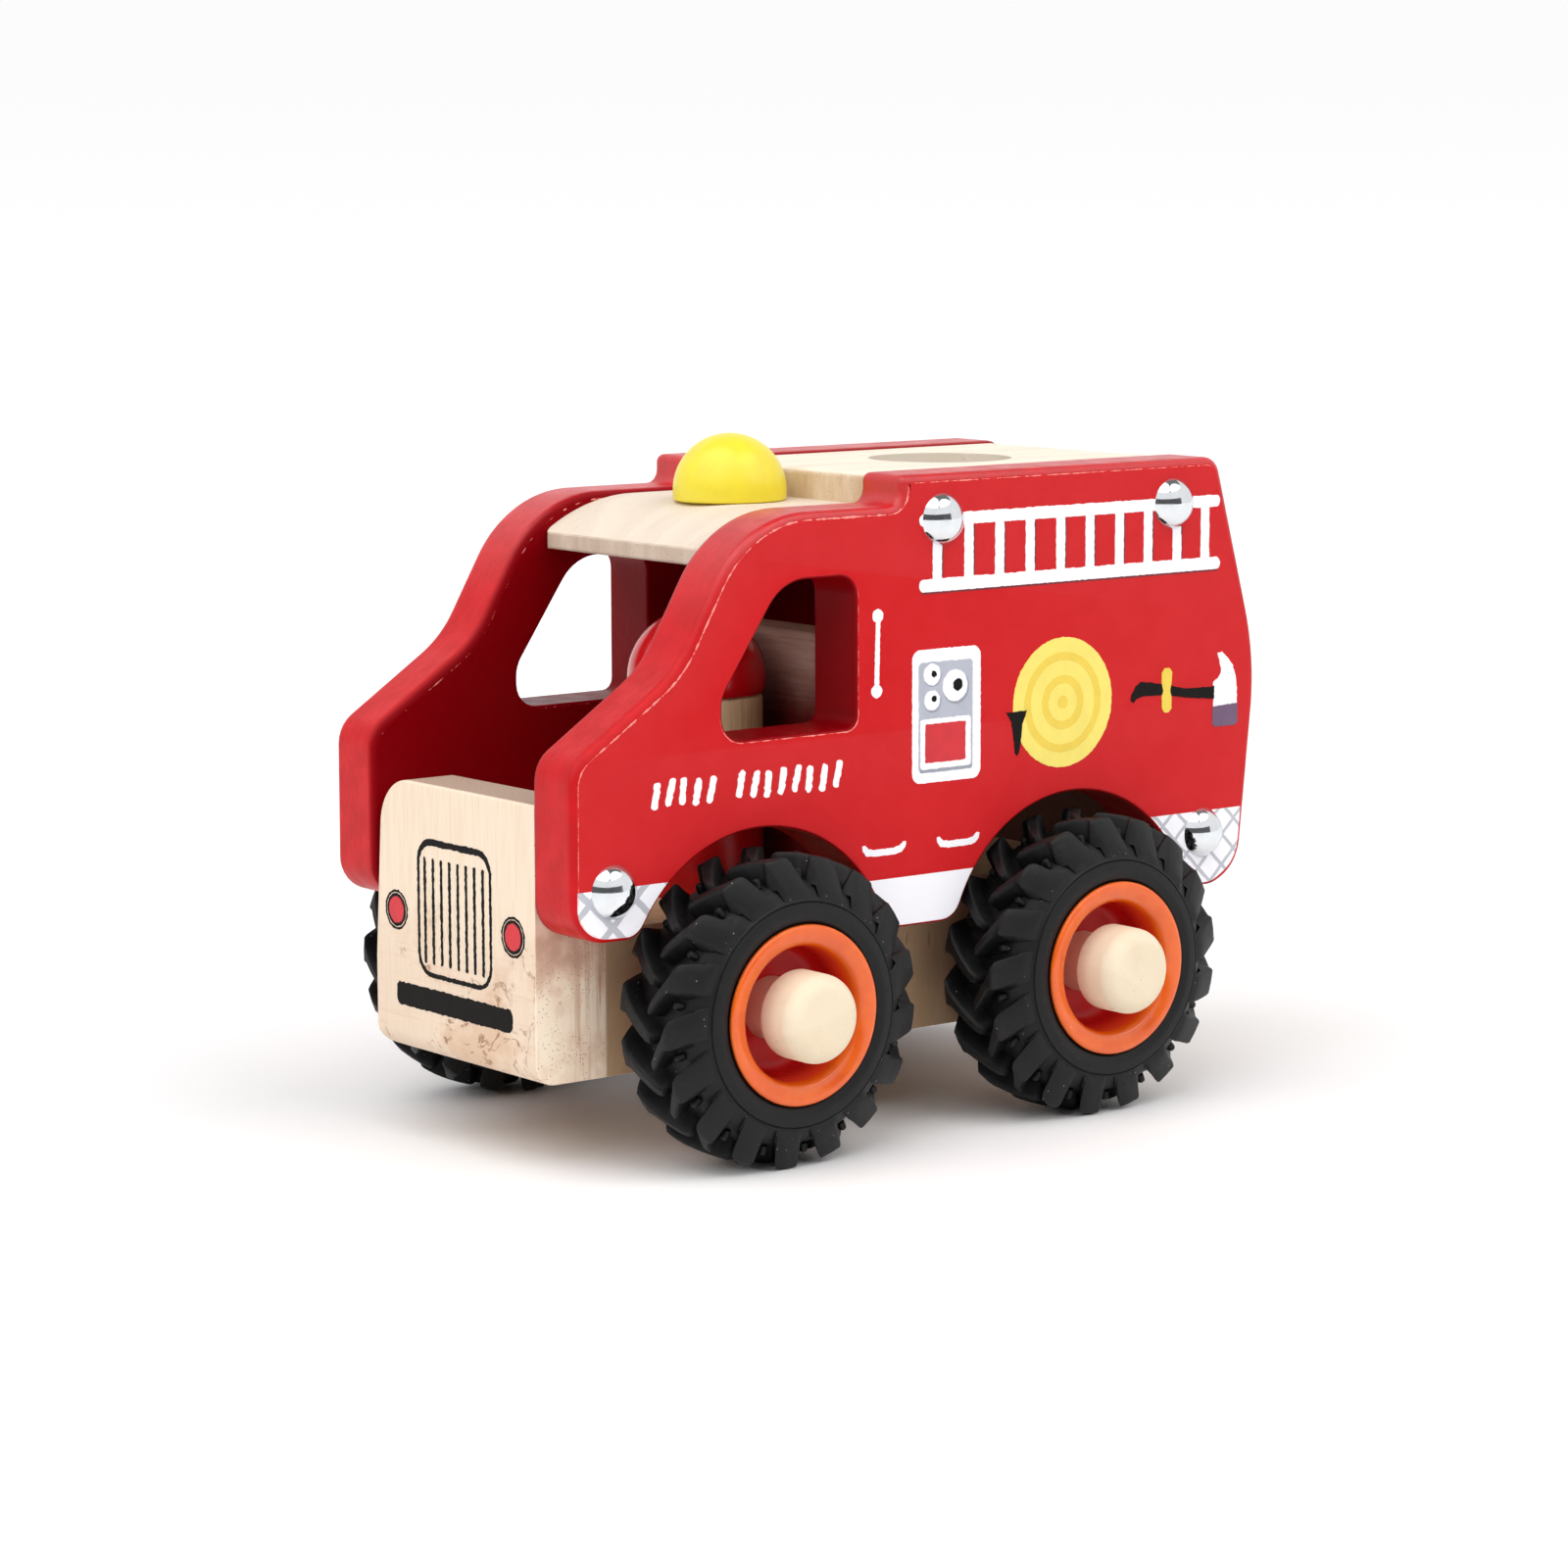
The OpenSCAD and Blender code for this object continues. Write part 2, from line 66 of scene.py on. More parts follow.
class Graph:
    """A material's node tree. Its methods take sockets or plain values and return the new node's output."""

    def __init__(self, name, **shader):
        self.material = bpy.data.materials.new(name)
        self.material.use_nodes = True
        self.tree = self.material.node_tree
        self.tree.nodes.clear()
        self.bsdf = self.tree.nodes.new("ShaderNodeBsdfPrincipled")
        out = self.tree.nodes.new("ShaderNodeOutputMaterial")
        self.tree.links.new(self.bsdf.outputs[0], out.inputs[0])
        self.set(**shader)
        coords = self.tree.nodes.new("ShaderNodeTexCoord").outputs["Object"]
        self.mm = self.vector("SCALE", coords, scale=1000.0)

    def put(self, socket, value):
        if isinstance(value, bpy.types.NodeSocket):
            self.tree.links.new(value, socket)
        elif socket.type == "RGBA" and isinstance(value, (int, float)):
            socket.default_value = (value, value, value, 1)
        else:
            socket.default_value = value

    def set(self, **shader):
        for key, value in shader.items():
            self.put(self.bsdf.inputs[key.replace("_", " ")], value)

    def add(self, kind, inputs, out=0, **props):
        node = self.tree.nodes.new("ShaderNode" + kind)
        for key, value in props.items():
            setattr(node, key, value)
        for key, value in inputs.items():
            self.put(node.inputs[key], value)
        return node.outputs[out]

    def math(self, op, a, b=0.0, clamp=False):
        return self.add("Math", {0: a, 1: b}, operation=op, use_clamp=clamp)

    def times(self, a, b):
        return self.math("MULTIPLY", a, b)

    def vector(self, op, a, b=(0, 0, 0), scale=1.0):
        return self.add("VectorMath", {0: a, 3: scale} if op == "SCALE" else {0: a, 1: b}, operation=op)

    def stretched(self, v, scale):
        return self.vector("MULTIPLY", v, scale)

    def xyz(self, v):
        node = self.tree.nodes.new("ShaderNodeSeparateXYZ")
        self.put(node.inputs[0], v)
        return node.outputs

    def turned(self, v, rotation=(0, 0, 0), location=(0, 0, 0), scale=(1, 1, 1)):
        angles = tuple(math.radians(a) for a in rotation)
        return self.add("Mapping", {0: v, "Rotation": angles, "Location": location, "Scale": scale})

    def noise(self, v, scale, detail=3.0, roughness=0.55, distortion=0.0):
        inputs = {"Vector": v, "Scale": scale, "Detail": detail, "Roughness": roughness}
        return self.add("TexNoise", inputs | {"Distortion": distortion})

    def cells(self, v, scale, out="Distance"):
        return self.add("TexVoronoi", {"Vector": v, "Scale": scale}, out)

    def between(self, value, low, high, to_low=0.0, to_high=1.0):
        """Smooth step of value from low to high."""
        inputs = {0: value, 1: low, 2: high, 3: to_low, 4: to_high}
        return self.add("MapRange", inputs, interpolation_type="SMOOTHSTEP")

    def mix(self, share, a, b, blend="MIX"):
        return self.add("Mix", {0: share, 6: a, 7: b}, 2, data_type="RGBA", blend_type=blend)

    def attribute(self, name):
        return self.add("Attribute", {}, 2, attribute_name=name)

    def bump(self, height, strength, distance):
        self.set(Normal=self.add("Bump", {"Height": height, "Strength": strength, "Distance": distance * MM}))


def specks(g, scale, size, share):
    """Mask of small scattered dots: that share of the cells holds a dot of that size."""
    dot = g.between(g.cells(g.mm, scale), size, size * 0.6)
    pick = g.math("LESS_THAN", g.xyz(g.cells(g.mm, scale, "Color"))[0], share)
    return g.times(dot, pick)


def wood(name, light, dark, grain, pith, ring, pores, pore_length=0.1, streaks=0.5, end_y=None, darkening=None):
    """Bare sanded wood. grain turns the coordinates so that the fibres run along their Z. end_y is where its
    front end starts: darker speckled end grain, with painted shade in the given colour laid over it if one is
    given."""
    g = Graph(name, Roughness=0.62, IOR=1.4)
    v = g.turned(g.mm, rotation=grain, location=pith)
    drift = g.add("TexNoise", {"Vector": v, "Scale": 0.035, "Detail": 2.0}, 1)
    wavy = g.vector("ADD", v, g.vector("SCALE", drift, scale=9.0))
    flat = g.stretched(wavy, (1, 1, 0.12))
    radius = g.stretched(flat, (1, 1, 0.3))
    distance = g.add("VectorMath", {0: radius}, 1, operation="LENGTH")
    rings = g.math("FRACT", g.times(distance, ring / 4))
    rings = g.times(g.between(rings, 0.0, 0.72), g.between(rings, 1.0, 0.9))
    fibres = g.noise(g.stretched(wavy, (1, 1, 0.035)), 2.2, 6.0, 0.7)
    patches = g.noise(g.stretched(wavy, (1, 1, 0.25)), 0.1, 3.0, 0.6)
    tone = g.times(rings, 0.35 * streaks)
    tone = g.math("ADD", tone, g.times(g.between(fibres, 0.42, 0.72), 0.3 * streaks))
    tone = g.math("ADD", tone, g.times(g.between(patches, 0.5, 0.75), 0.7 * streaks), clamp=True)
    colour = g.mix(tone, light, dark)
    # Pores: short dashes along the fibres, dots where the fibres end
    slim = g.turned(wavy, scale=(1, 1, pore_length))
    pore = g.between(g.cells(slim, 1.15), 0.2, 0.09)
    chosen = g.between(g.xyz(g.cells(slim, 1.15, "Color"))[0], pores, pores * 0.7)
    pore = g.times(pore, chosen)
    thin = g.between(g.noise(v, 0.12, 2.0), 0.35, 0.6, 0.35, 1.0)
    pore = g.times(pore, thin)
    deep = tuple(c * k for c, k in zip(dark[:3], (0.45, 0.36, 0.3))) + (1.0,)
    colour = g.mix(g.times(pore, 0.75), colour, deep)
    if end_y is not None:
        end = g.between(g.xyz(g.mm)[1], end_y + 0.15, end_y - 0.1)
        bands = g.between(g.noise(g.stretched(g.mm, (1, 1, 0.25)), 0.25, 4.0, 0.65), 0.3, 0.7)
        dots = g.between(g.cells(g.mm, 2.6), 0.3, 0.12)
        dots = g.times(dots, g.between(g.noise(g.mm, 0.3, 2.0), 0.4, 0.6))
        grey = tuple((a + b) / 2 for a, b in zip(light, dark))
        grain_end = g.mix(g.times(dots, 0.55), g.mix(bands, grey, dark), deep)
        # A given colour is painted shade laid over the front end
        colour = g.mix(end, colour, g.mix(0.85, grain_end, darkening) if darkening else grain_end)
    g.set(Base_Color=colour)
    g.bump(g.math("SUBTRACT", fibres, g.times(pore, 1.2)), 0.35, 0.12)
    return g.material


def board_wood():
    """Front board: pale wood, dashed high up and with darker stains low down, with a tan, pitted and cracked
    side brightened as painted light, and a top face darkened as painted shade.
    """
    g = Graph("wood_front_board", Roughness=0.6, IOR=1.4)
    v = g.mm
    x, y, z = g.xyz(v)
    fibres = g.noise(g.stretched(v, (1, 1, 0.05)), 1.8, 6.0, 0.7)
    cloud = g.noise(g.turned(v, location=(9, 0, 4)), 0.085, 4.0, 0.6)
    low = g.between(z, 39, 24)
    colour = g.mix(g.between(fibres, 0.4, 0.7), linear(237, 218, 196), linear(230, 208, 180))
    colour = g.mix(g.times(low, 0.4), colour, linear(218, 192, 170))
    across = g.noise(g.stretched(v, (0.08, 1, 1)), 1.1, 4.0, 0.7)
    across = g.times(g.between(across, 0.5, 0.72), g.times(low, 0.35))
    colour = g.mix(across, colour, linear(212, 172, 154))
    darkening = g.times(g.between(cloud, 0.5, 0.66), low)
    colour = g.mix(g.times(darkening, 0.6), colour, linear(206, 168, 134))
    swirl = g.noise(g.turned(v, location=(3, 7, 11)), 0.11, 3.0, 0.55, 1.2)
    lines = g.between(g.math("ABSOLUTE", g.math("SUBTRACT", swirl, 0.5)), 0.03, 0.006)
    broken = g.between(g.noise(v, 0.6, 4.0, 0.7), 0.42, 0.56)
    lines = g.times(lines, broken)
    lines = g.times(lines, g.times(low, g.between(cloud, 0.42, 0.56)))
    colour = g.mix(g.times(lines, 0.85), colour, linear(150, 104, 76))
    dashes = g.turned(v, scale=(1, 1, 0.11))
    dash = g.between(g.cells(dashes, 0.75), 0.11, 0.05)
    dash = g.times(dash, g.math("LESS_THAN", g.xyz(g.cells(dashes, 0.75, "Color"))[0], 0.5))
    dash = g.times(dash, g.between(z, 34, 42, 0.2, 0.8))
    colour = g.mix(dash, colour, linear(190, 160, 122))
    # Side face: tan end grain with pits and cracks, its colours raised near white as painted light standing
    # in for the light from the side
    side = g.between(x, 20.2, 20.45)
    tan = g.mix(g.between(cloud, 0.35, 0.62), linear(255, 240, 216), linear(254, 230, 204))
    tan = g.mix(g.times(g.between(z, 26, 33), 0.4), tan, linear(240, 196, 176))
    bands = g.noise(g.stretched(v, (1, 1, 0.05)), 1.0, 4.0, 0.6)
    bands = g.times(g.between(bands, 0.45, 0.7), g.between(y, -60, -55))
    tan = g.mix(bands, tan, linear(214, 172, 142))
    pits = g.times(g.between(g.cells(v, 1.9), 0.26, 0.12), g.between(g.noise(v, 0.2, 3.0), 0.38, 0.55))
    tan = g.mix(g.times(pits, 0.75), tan, linear(142, 98, 72))
    patches = g.times(g.between(cloud, 0.44, 0.62), g.between(z, 22, 32, 0.25, 0.6))
    tan = g.mix(patches, tan, linear(190, 146, 116))
    slanted = g.stretched(g.turned(v, rotation=(-38, 0, 0)), (1, 0.07, 1))
    crack = g.between(g.cells(slanted, 0.42), 0.17, 0.05)
    crack = g.times(crack, g.math("LESS_THAN", g.xyz(g.cells(slanted, 0.42, "Color"))[1], 0.75))
    tan = g.mix(g.times(g.times(crack, broken), 0.9), tan, linear(104, 66, 46))
    colour = g.mix(side, colour, tan)
    # Painted shade: the top face is darker and pinker, standing in for the shade under the roof and panels
    top = g.times(g.between(z, 52.3, 52.8), g.between(y, -63.9, -63.6))
    painted_shade_top_wood = g.mix(g.between(fibres, 0.35, 0.65), linear(188, 164, 146), linear(174, 148, 130))
    colour = g.mix(top, colour, painted_shade_top_wood)
    g.set(Base_Color=colour)
    g.bump(g.math("SUBTRACT", fibres, g.times(g.math("ADD", pits, crack), side)), 0.3, 0.12)
    return g.material


def driver_wood():
    """The peg driver: bare wood above, deep red and glossier below a wavy line."""
    g = Graph("wood_driver", IOR=1.42)
    v = g.mm
    fibres = g.noise(g.stretched(v, (1, 1, 0.05)), 1.6, 6.0, 0.7)
    bare = g.mix(g.between(fibres, 0.35, 0.7), linear(236, 210, 166), linear(212, 176, 126))
    edge = g.math("ADD", g.xyz(v)[2], g.times(g.noise(v, 0.5, 3.0), 0.8))
    red_below = g.between(edge, 55.6, 55.3)
    uneven = g.noise(v, 0.3, 4.0)
    red = g.mix(g.between(uneven, 0.35, 0.7), linear(200, 14, 22), linear(182, 8, 16))
    g.set(Base_Color=g.mix(red_below, bare, red), Roughness=g.mix(red_below, 0.6, 0.28))
    g.bump(fibres, 0.25, 0.1)
    return g.material


def partition_wood():
    """The partition: greyish wood, shading to deep red towards its foot as painted shade and red bounce light
    from the panels.
    """
    g = Graph("wood_partition", Roughness=0.65, IOR=1.4, Specular_IOR_Level=0.2)
    v = g.mm
    fibres = g.noise(g.stretched(v, (0.06, 1, 1)), 1.6, 6.0, 0.7)
    wood = g.mix(g.between(fibres, 0.35, 0.7), linear(206, 176, 162), linear(182, 150, 136))
    # Painted shade: towards the foot the wood turns deep red, standing in for the dark, red-lit inside of the
    # cab
    height = g.math("ADD", g.xyz(v)[2], g.times(g.noise(v, 0.12, 3.0), 6.0))
    painted_red_shade = g.mix(g.between(fibres, 0.35, 0.7), linear(120, 26, 22), linear(104, 16, 14))
    low = g.between(height, 73.5, 62.0)
    g.set(Base_Color=g.mix(low, wood, painted_red_shade))
    g.bump(fibres, 0.25, 0.1)
    return g.material


def paint(name, colour, roughness=0.4, dust=(0.35, 0.03), brush=0.25, tint=0.06, shine=0.5):
    """Painted wood or a print on it: slight unevenness, fine dust specks and a faint grain."""
    g = Graph(name, IOR=1.45, Specular_IOR_Level=shine)
    v = g.mm
    uneven = g.noise(v, 0.3, 4.0)
    shade = tuple(c * (1 - tint * 2) for c in colour[:3]) + (1.0,)
    base = g.mix(g.between(uneven, 0.35, 0.7), colour, shade)
    base = g.mix(g.times(specks(g, dust[0], 0.055, dust[1]), 0.6), base, linear(245, 200, 195))
    g.set(Base_Color=base, Roughness=g.math("ADD", roughness - 0.04, g.times(uneven, 0.08)))
    strokes = g.noise(g.stretched(v, (1, 0.12, 0.12)), 1.6, 5.0)
    g.bump(strokes, brush, 0.08)
    return g.material


WHITE = linear(246, 245, 250)


def panel_paint():
    """Red paint of the side panels: printed outer face, worn edge lines, white bands at the bottom."""
    g = Graph("red_panel_paint", IOR=1.45)
    v = g.mm
    x, y, z = g.xyz(v)
    flat = g.between(g.attribute("flat"), 0.35, 0.65)
    uneven = g.noise(v, 0.25, 4.0)
    edge = g.mix(g.between(uneven, 0.3, 0.7), linear(198, 10, 20), linear(184, 6, 14))
    face = g.mix(g.between(uneven, 0.3, 0.7), linear(200, 32, 36), linear(197, 28, 32))
    # Painted shade: the inside and the edges of the window and arches are a deeper red, standing in for the
    # shade there
    inside = g.between(g.math("ABSOLUTE", x), INNER_X + 1.4, INNER_X + 0.1)
    painted_shade = g.math("MAXIMUM", inside, g.attribute("shade"))
    edge = g.mix(painted_shade, edge, linear(128, 0, 9))
    colour = g.mix(flat, edge, face)
    # The brushed edges shine a little, more so high up; the flat face and the painted-shade parts hardly do
    gloss = g.math("MAXIMUM", flat, painted_shade)
    sheen = g.between(z, 76, 91, 0.22, 0.75)
    g.set(Specular_IOR_Level=g.mix(gloss, sheen, g.mix(painted_shade, 0.16, 0.05)))

    # White bands: under the front lobe, the belly between the wheels and the rear lobe
    def band(y0, y1, top):
        inside = g.times(g.math("GREATER_THAN", y, y0), g.math("LESS_THAN", y, y1))
        return g.times(inside, g.math("LESS_THAN", z, top))

    front, belly, rear = band(-70, -38, 41.7), band(-20, 20, 38.1), band(36, 70, 42.3)
    hatched = g.math("ADD", front, rear, clamp=True)
    bands = g.times(g.math("ADD", hatched, belly, clamp=True), flat)
    # The bands are dirty white and red shows through where they are rubbed
    rubbed = g.between(g.noise(v, 0.9, 5.0, 0.7), 0.66, 0.74)
    white = g.mix(g.times(rubbed, 0.5), WHITE, linear(225, 150, 160))
    spread = g.noise(v, 0.5, 2.0)

    def hatch(sign, pitch, width, shift):
        run = g.math("ADD", g.times(y, 0.69), g.times(z, sign * 0.72))
        run = g.math("ADD", run, g.times(spread, 0.4))
        near = g.math("PINGPONG", g.math("ADD", run, 500 + shift), pitch / 2)
        return g.between(near, width / 2 + 0.07, width / 2 - 0.07)

    lines = g.math("MAXIMUM", hatch(1, 5.3, 1.0, 1.2), hatch(-1, 5.3, 1.0, 0.4))
    thin = g.math("MAXIMUM", hatch(1, 3.4, 0.55, 0.2), hatch(-1, 3.4, 0.55, 0.9))
    lines = g.mix(g.math("GREATER_THAN", y, 0.0), lines, thin)
    lines = g.times(lines, hatched)
    white = g.mix(g.times(lines, 0.85), white, linear(176, 177, 186))
    colour = g.mix(bands, colour, white)

    # Broken worn line where the printed face meets the rounded edge; the weaker line at the inner face's edge
    # is partly wear, partly a painted highlight
    patchy = g.between(g.noise(v, 0.5, 5.0, 0.75), 0.36, 0.66)
    width = g.times(g.times(g.attribute("rub"), patchy), 0.62)
    worn = g.between(g.math("ADD", g.attribute("wear"), width), 1.0, 1.14)
    colour = g.mix(g.times(worn, 0.8), colour, linear(246, 158, 148))
    dots = specks(g, 0.22, 0.034, 0.05)
    colour = g.mix(g.times(dots, 0.8), colour, linear(240, 160, 150))
    g.set(Base_Color=colour)
    # Even printed face, glossier brushed edge
    g.set(Roughness=g.mix(flat, g.between(uneven, 0.2, 0.8, 0.28, 0.42), 0.46))
    strokes = g.noise(g.stretched(v, (1.0, 0.25, 0.25)), 1.4, 6.0, 0.65)
    pits = g.noise(v, 0.7, 3.0)
    height = g.math("ADD", g.times(strokes, 0.5), pits)
    height = g.times(height, g.between(flat, 0.0, 1.0, 1.0, 0.2))
    g.bump(height, 0.5, 0.12)
    return g.material


def rubber():
    """Matt black tyre rubber with scuffs and white dust."""
    g = Graph("tyre_rubber", IOR=1.48)
    v = g.mm
    scuff = g.between(g.noise(v, 0.55, 5.0, 0.7), 0.5, 0.75)
    raised = g.attribute("raised")
    colour = g.mix(scuff, (0.0018, 0.0018, 0.002, 1), (0.006, 0.006, 0.0062, 1))
    colour = g.mix(raised, colour, g.mix(scuff, (0.0045, 0.0045, 0.0048, 1), (0.013, 0.0128, 0.013, 1)))
    dust = g.times(specks(g, 1.4, 0.13, 0.1), g.between(g.noise(v, 0.16, 2.0), 0.4, 0.56))
    haze = g.between(g.noise(v, 2.2, 4.0, 0.8), 0.6, 0.8)
    haze = g.times(haze, g.between(g.noise(v, 0.12, 2.0), 0.5, 0.7))
    colour = g.mix(g.times(haze, 0.07), colour, linear(170, 165, 160))
    colour = g.mix(g.times(dust, 0.75), colour, linear(205, 195, 180))
    g.set(Base_Color=colour, Roughness=g.between(scuff, 0.0, 1.0, 0.5, 0.7), Specular_IOR_Level=0.3)
    g.bump(g.math("ADD", g.noise(v, 1.2, 5.0, 0.65), g.times(dust, 0.5)), 0.35, 0.12)
    return g.material


def rim_plastic():
    """Glossy moulded orange plastic, darker red down in the dish as painted shade, with faint waves, dust and
    fine scratches.
    """
    g = Graph("orange_plastic", IOR=1.5, Coat_Roughness=0.06)
    v = g.mm
    deep = g.attribute("deep")
    cloud = g.between(g.noise(v, 0.25, 3.0), 0.3, 0.7)
    lip = g.mix(cloud, linear(228, 98, 12), linear(220, 86, 8))
    # Painted shade: deeper in the dish the orange turns darker red, standing in for shade and red bounce
    # light there
    base = g.mix(g.between(deep, 0.05, 0.3), lip, linear(232, 66, 30))
    base = g.mix(g.between(deep, 0.3, 0.9), base, linear(204, 26, 24))
    base = g.mix(g.times(specks(g, 0.6, 0.06, 0.03), 0.5), base, linear(255, 205, 150))
    scratch = g.noise(g.turned(v, rotation=(30, 20, 45), scale=(1, 0.08, 1)), 1.5, 5.0, 0.8)
    g.set(Base_Color=base, Roughness=g.mix(deep, g.between(scratch, 0.35, 0.8, 0.16, 0.26), 0.3))
    g.set(Coat_Weight=g.between(deep, 0.0, 0.5, 0.3, 0.0))
    g.set(Specular_IOR_Level=g.between(deep, 0.1, 0.7, 0.5, 0.2))
    g.bump(g.noise(v, 0.16, 2.0), 0.1, 0.4)
    return g.material


def metal():
    """Bright plated bolt heads with faint smears."""
    g = Graph("bright_plating", Metallic=1.0)
    v = g.mm
    smear = g.noise(v, 0.6, 4.0, 0.7)
    g.set(Base_Color=g.mix(smear, linear(235, 238, 240), linear(212, 216, 220)))
    g.set(Roughness=g.between(smear, 0.35, 0.75, 0.05, 0.16))
    g.bump(g.noise(v, 0.5, 3.0), 0.05, 0.2)
    return g.material


MAT = {
    "panel": panel_paint(),
    "board": board_wood(),
    "block": wood(
        "wood_chassis", linear(194, 162, 128), linear(172, 136, 98),
        grain=(8, 0, 0), pith=(50, 30, 0), ring=0.7, pores=0.22, streaks=0.6,
    ),
    # The rear board's front end is darkened to a deep red-brown: painted shade for the dark inside of the
    # body
    "rear": wood(
        "wood_rear_board", linear(226, 200, 168), linear(205, 172, 134),
        grain=(6, 30, 0), pith=(4, 0, 0), ring=0.7, pores=0.2, streaks=0.6, end_y=47.3,
        darkening=linear(92, 26, 20),
    ),
    "roof": wood(
        "wood_cab_roof", linear(228, 213, 196), linear(192, 168, 148),
        grain=(84, 3, 0), pith=(20, 70, 0), ring=0.6, pores=0.1, pore_length=0.12, streaks=0.4, end_y=-33.3,
    ),
    "deck": wood(
        "wood_roof_deck", linear(239, 228, 211), linear(204, 174, 142),
        grain=(88, 2, 0), pith=(90, 40, 0), ring=0.5, pores=0.16, streaks=0.3, end_y=-3.7,
    ),
    "peg": wood(
        "wood_pegs", linear(231, 216, 190), linear(212, 186, 148),
        grain=(0, 90, 0), pith=(60, 14, 0), ring=0.5, pores=0.08, pore_length=0.2, streaks=0.35,
    ),
    "driver": driver_wood(),
    "inner": partition_wood(),
    "helmet": paint("red_helmet_paint", linear(206, 8, 20), 0.2, (0.4, 0.03), 0.1, shine=0.6),
    "beacon": paint("yellow_beacon_paint", linear(236, 217, 50), 0.3, (0.3, 0.01), 0.1, 0.03),
    "rubber": rubber(),
    "rim": rim_plastic(),
    "metal": metal(),
    "white": paint("print_white", WHITE, 0.45, (0.4, 0.01), 0.12, 0.02),
    "red": paint("print_red", linear(206, 26, 38), 0.45, (0.4, 0.02), 0.12),
    "grey": paint("print_grey", linear(176, 180, 192), 0.45, (0.4, 0.02), 0.12, 0.04),
    "slate": paint("print_slate", linear(150, 154, 166), 0.45, (0.4, 0.02), 0.12, 0.04),
    "black": paint("print_black", linear(20, 16, 15), 0.6, (0.5, 0.04), 0.2, shine=0.12),
    "yellow": paint("print_yellow", linear(240, 220, 104), 0.45, (0.4, 0.02), 0.12, 0.03),
    "gold": paint("print_gold", linear(233, 202, 70), 0.45, (0.4, 0.02), 0.12, 0.03),
    "plum": paint("print_plum", linear(104, 78, 108), 0.45, (0.4, 0.02), 0.12),
    "shade": paint("print_shade", linear(112, 18, 26), 0.5, (0.4, 0.02), 0.12),
}


# ---- Mesh builders ----------------------------------------------------------


def make(name, verts, faces, material, body, node=None, slot=None, values=None, sharp=40):
    """A smooth-shaded piece riding on a body, in place of a CAD node if one is named."""
    mesh = bpy.data.meshes.new(name)
    mesh.from_pydata([tuple(c * MM for c in v) for v in verts], [], faces)
    for key, row in (values or {}).items():
        mesh.attributes.new(key, "FLOAT", "POINT").data.foreach_set("value", row)
    bm = bmesh.new()
    bm.from_mesh(mesh)
    bmesh.ops.recalc_face_normals(bm, faces=bm.faces)
    bm.to_mesh(mesh)
    bm.free()
    mesh.polygons.foreach_set("use_smooth", [True] * len(mesh.polygons))
    mesh.set_sharp_from_angle(angle=math.radians(sharp))
    mesh.materials.append(MAT[material])
    piece = bpy.data.objects.new(name, mesh)
    bpy.context.scene.collection.objects.link(piece)
    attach(piece, body)
    if node:
        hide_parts(node)


def rounded(corners, closed=True):
    """Outline through corners (a, b, radius), each rounded with its radius."""
    points = []
    for i, (a, b, r) in enumerate(corners):
        here = Vector((a, b))
        if not r or (not closed and i in (0, len(corners) - 1)):
            points.append((a, b))
            continue
        before = Vector(corners[i - 1][:2]) - here
        after = Vector(corners[(i + 1) % len(corners)][:2]) - here
        half = before.angle(after) / 2
        reach = min(r / math.tan(half), before.length * 0.49, after.length * 0.49)
        r = reach * math.tan(half)
        u, v = before.normalized(), after.normalized()
        centre = here + (u + v).normalized() * r / math.sin(half)
        start, end = here + u * reach - centre, here + v * reach - centre
        turn = start.angle_signed(end)  # clockwise is positive
        steps = max(2, math.ceil(abs(math.degrees(turn)) / 12))
        a0 = math.atan2(start.y, start.x)
        for k in range(steps + 1):
            t = a0 - turn * k / steps
            points.append((centre.x + r * math.cos(t), centre.y + r * math.sin(t)))
    return points


def turned(profile, place, segments=96, closed=False):
    """Vertices and faces of a turned profile (radius, height), put into the frame by place(r, angle, h)."""
    verts, faces, rings = [], [], []
    for r, h in profile:
        count = 1 if r < 1e-6 else segments
        rings.append(list(range(len(verts), len(verts) + count)))
        verts += [place(r, 360 * i / segments, h) for i in range(count)]
    pairs = list(zip(rings, rings[1:])) + ([(rings[-1], rings[0])] if closed else [])
    for a, b in pairs:
        for i in range(segments):
            j = (i + 1) % segments
            face = [a[i % len(a)], a[j % len(a)], b[j % len(b)], b[i % len(b)]]
            face = [v for k, v in enumerate(face) if v not in face[:k]]
            if len(face) > 2:
                faces.append(face)
    return verts, faces


def on_axle(axle_y, side=1):
    """Places points round a wheel axle: angle 0 is the front, 90 the top."""
    return lambda r, a, x: (
        side * x,
        axle_y - r * math.cos(math.radians(a)),
        AXLE_Z + r * math.sin(math.radians(a)),
    )


def upright(cx, cy):
    """Places points round an upright axis."""
    return lambda r, a, z: (cx + r * math.cos(math.radians(a)), cy + r * math.sin(math.radians(a)), z)


def merged(parts):
    """One set of vertices and faces from several."""
    verts, faces = [], []
    for v, f in parts:
        faces += [[i + len(verts) for i in face] for face in f]
        verts += v
    return verts, faces


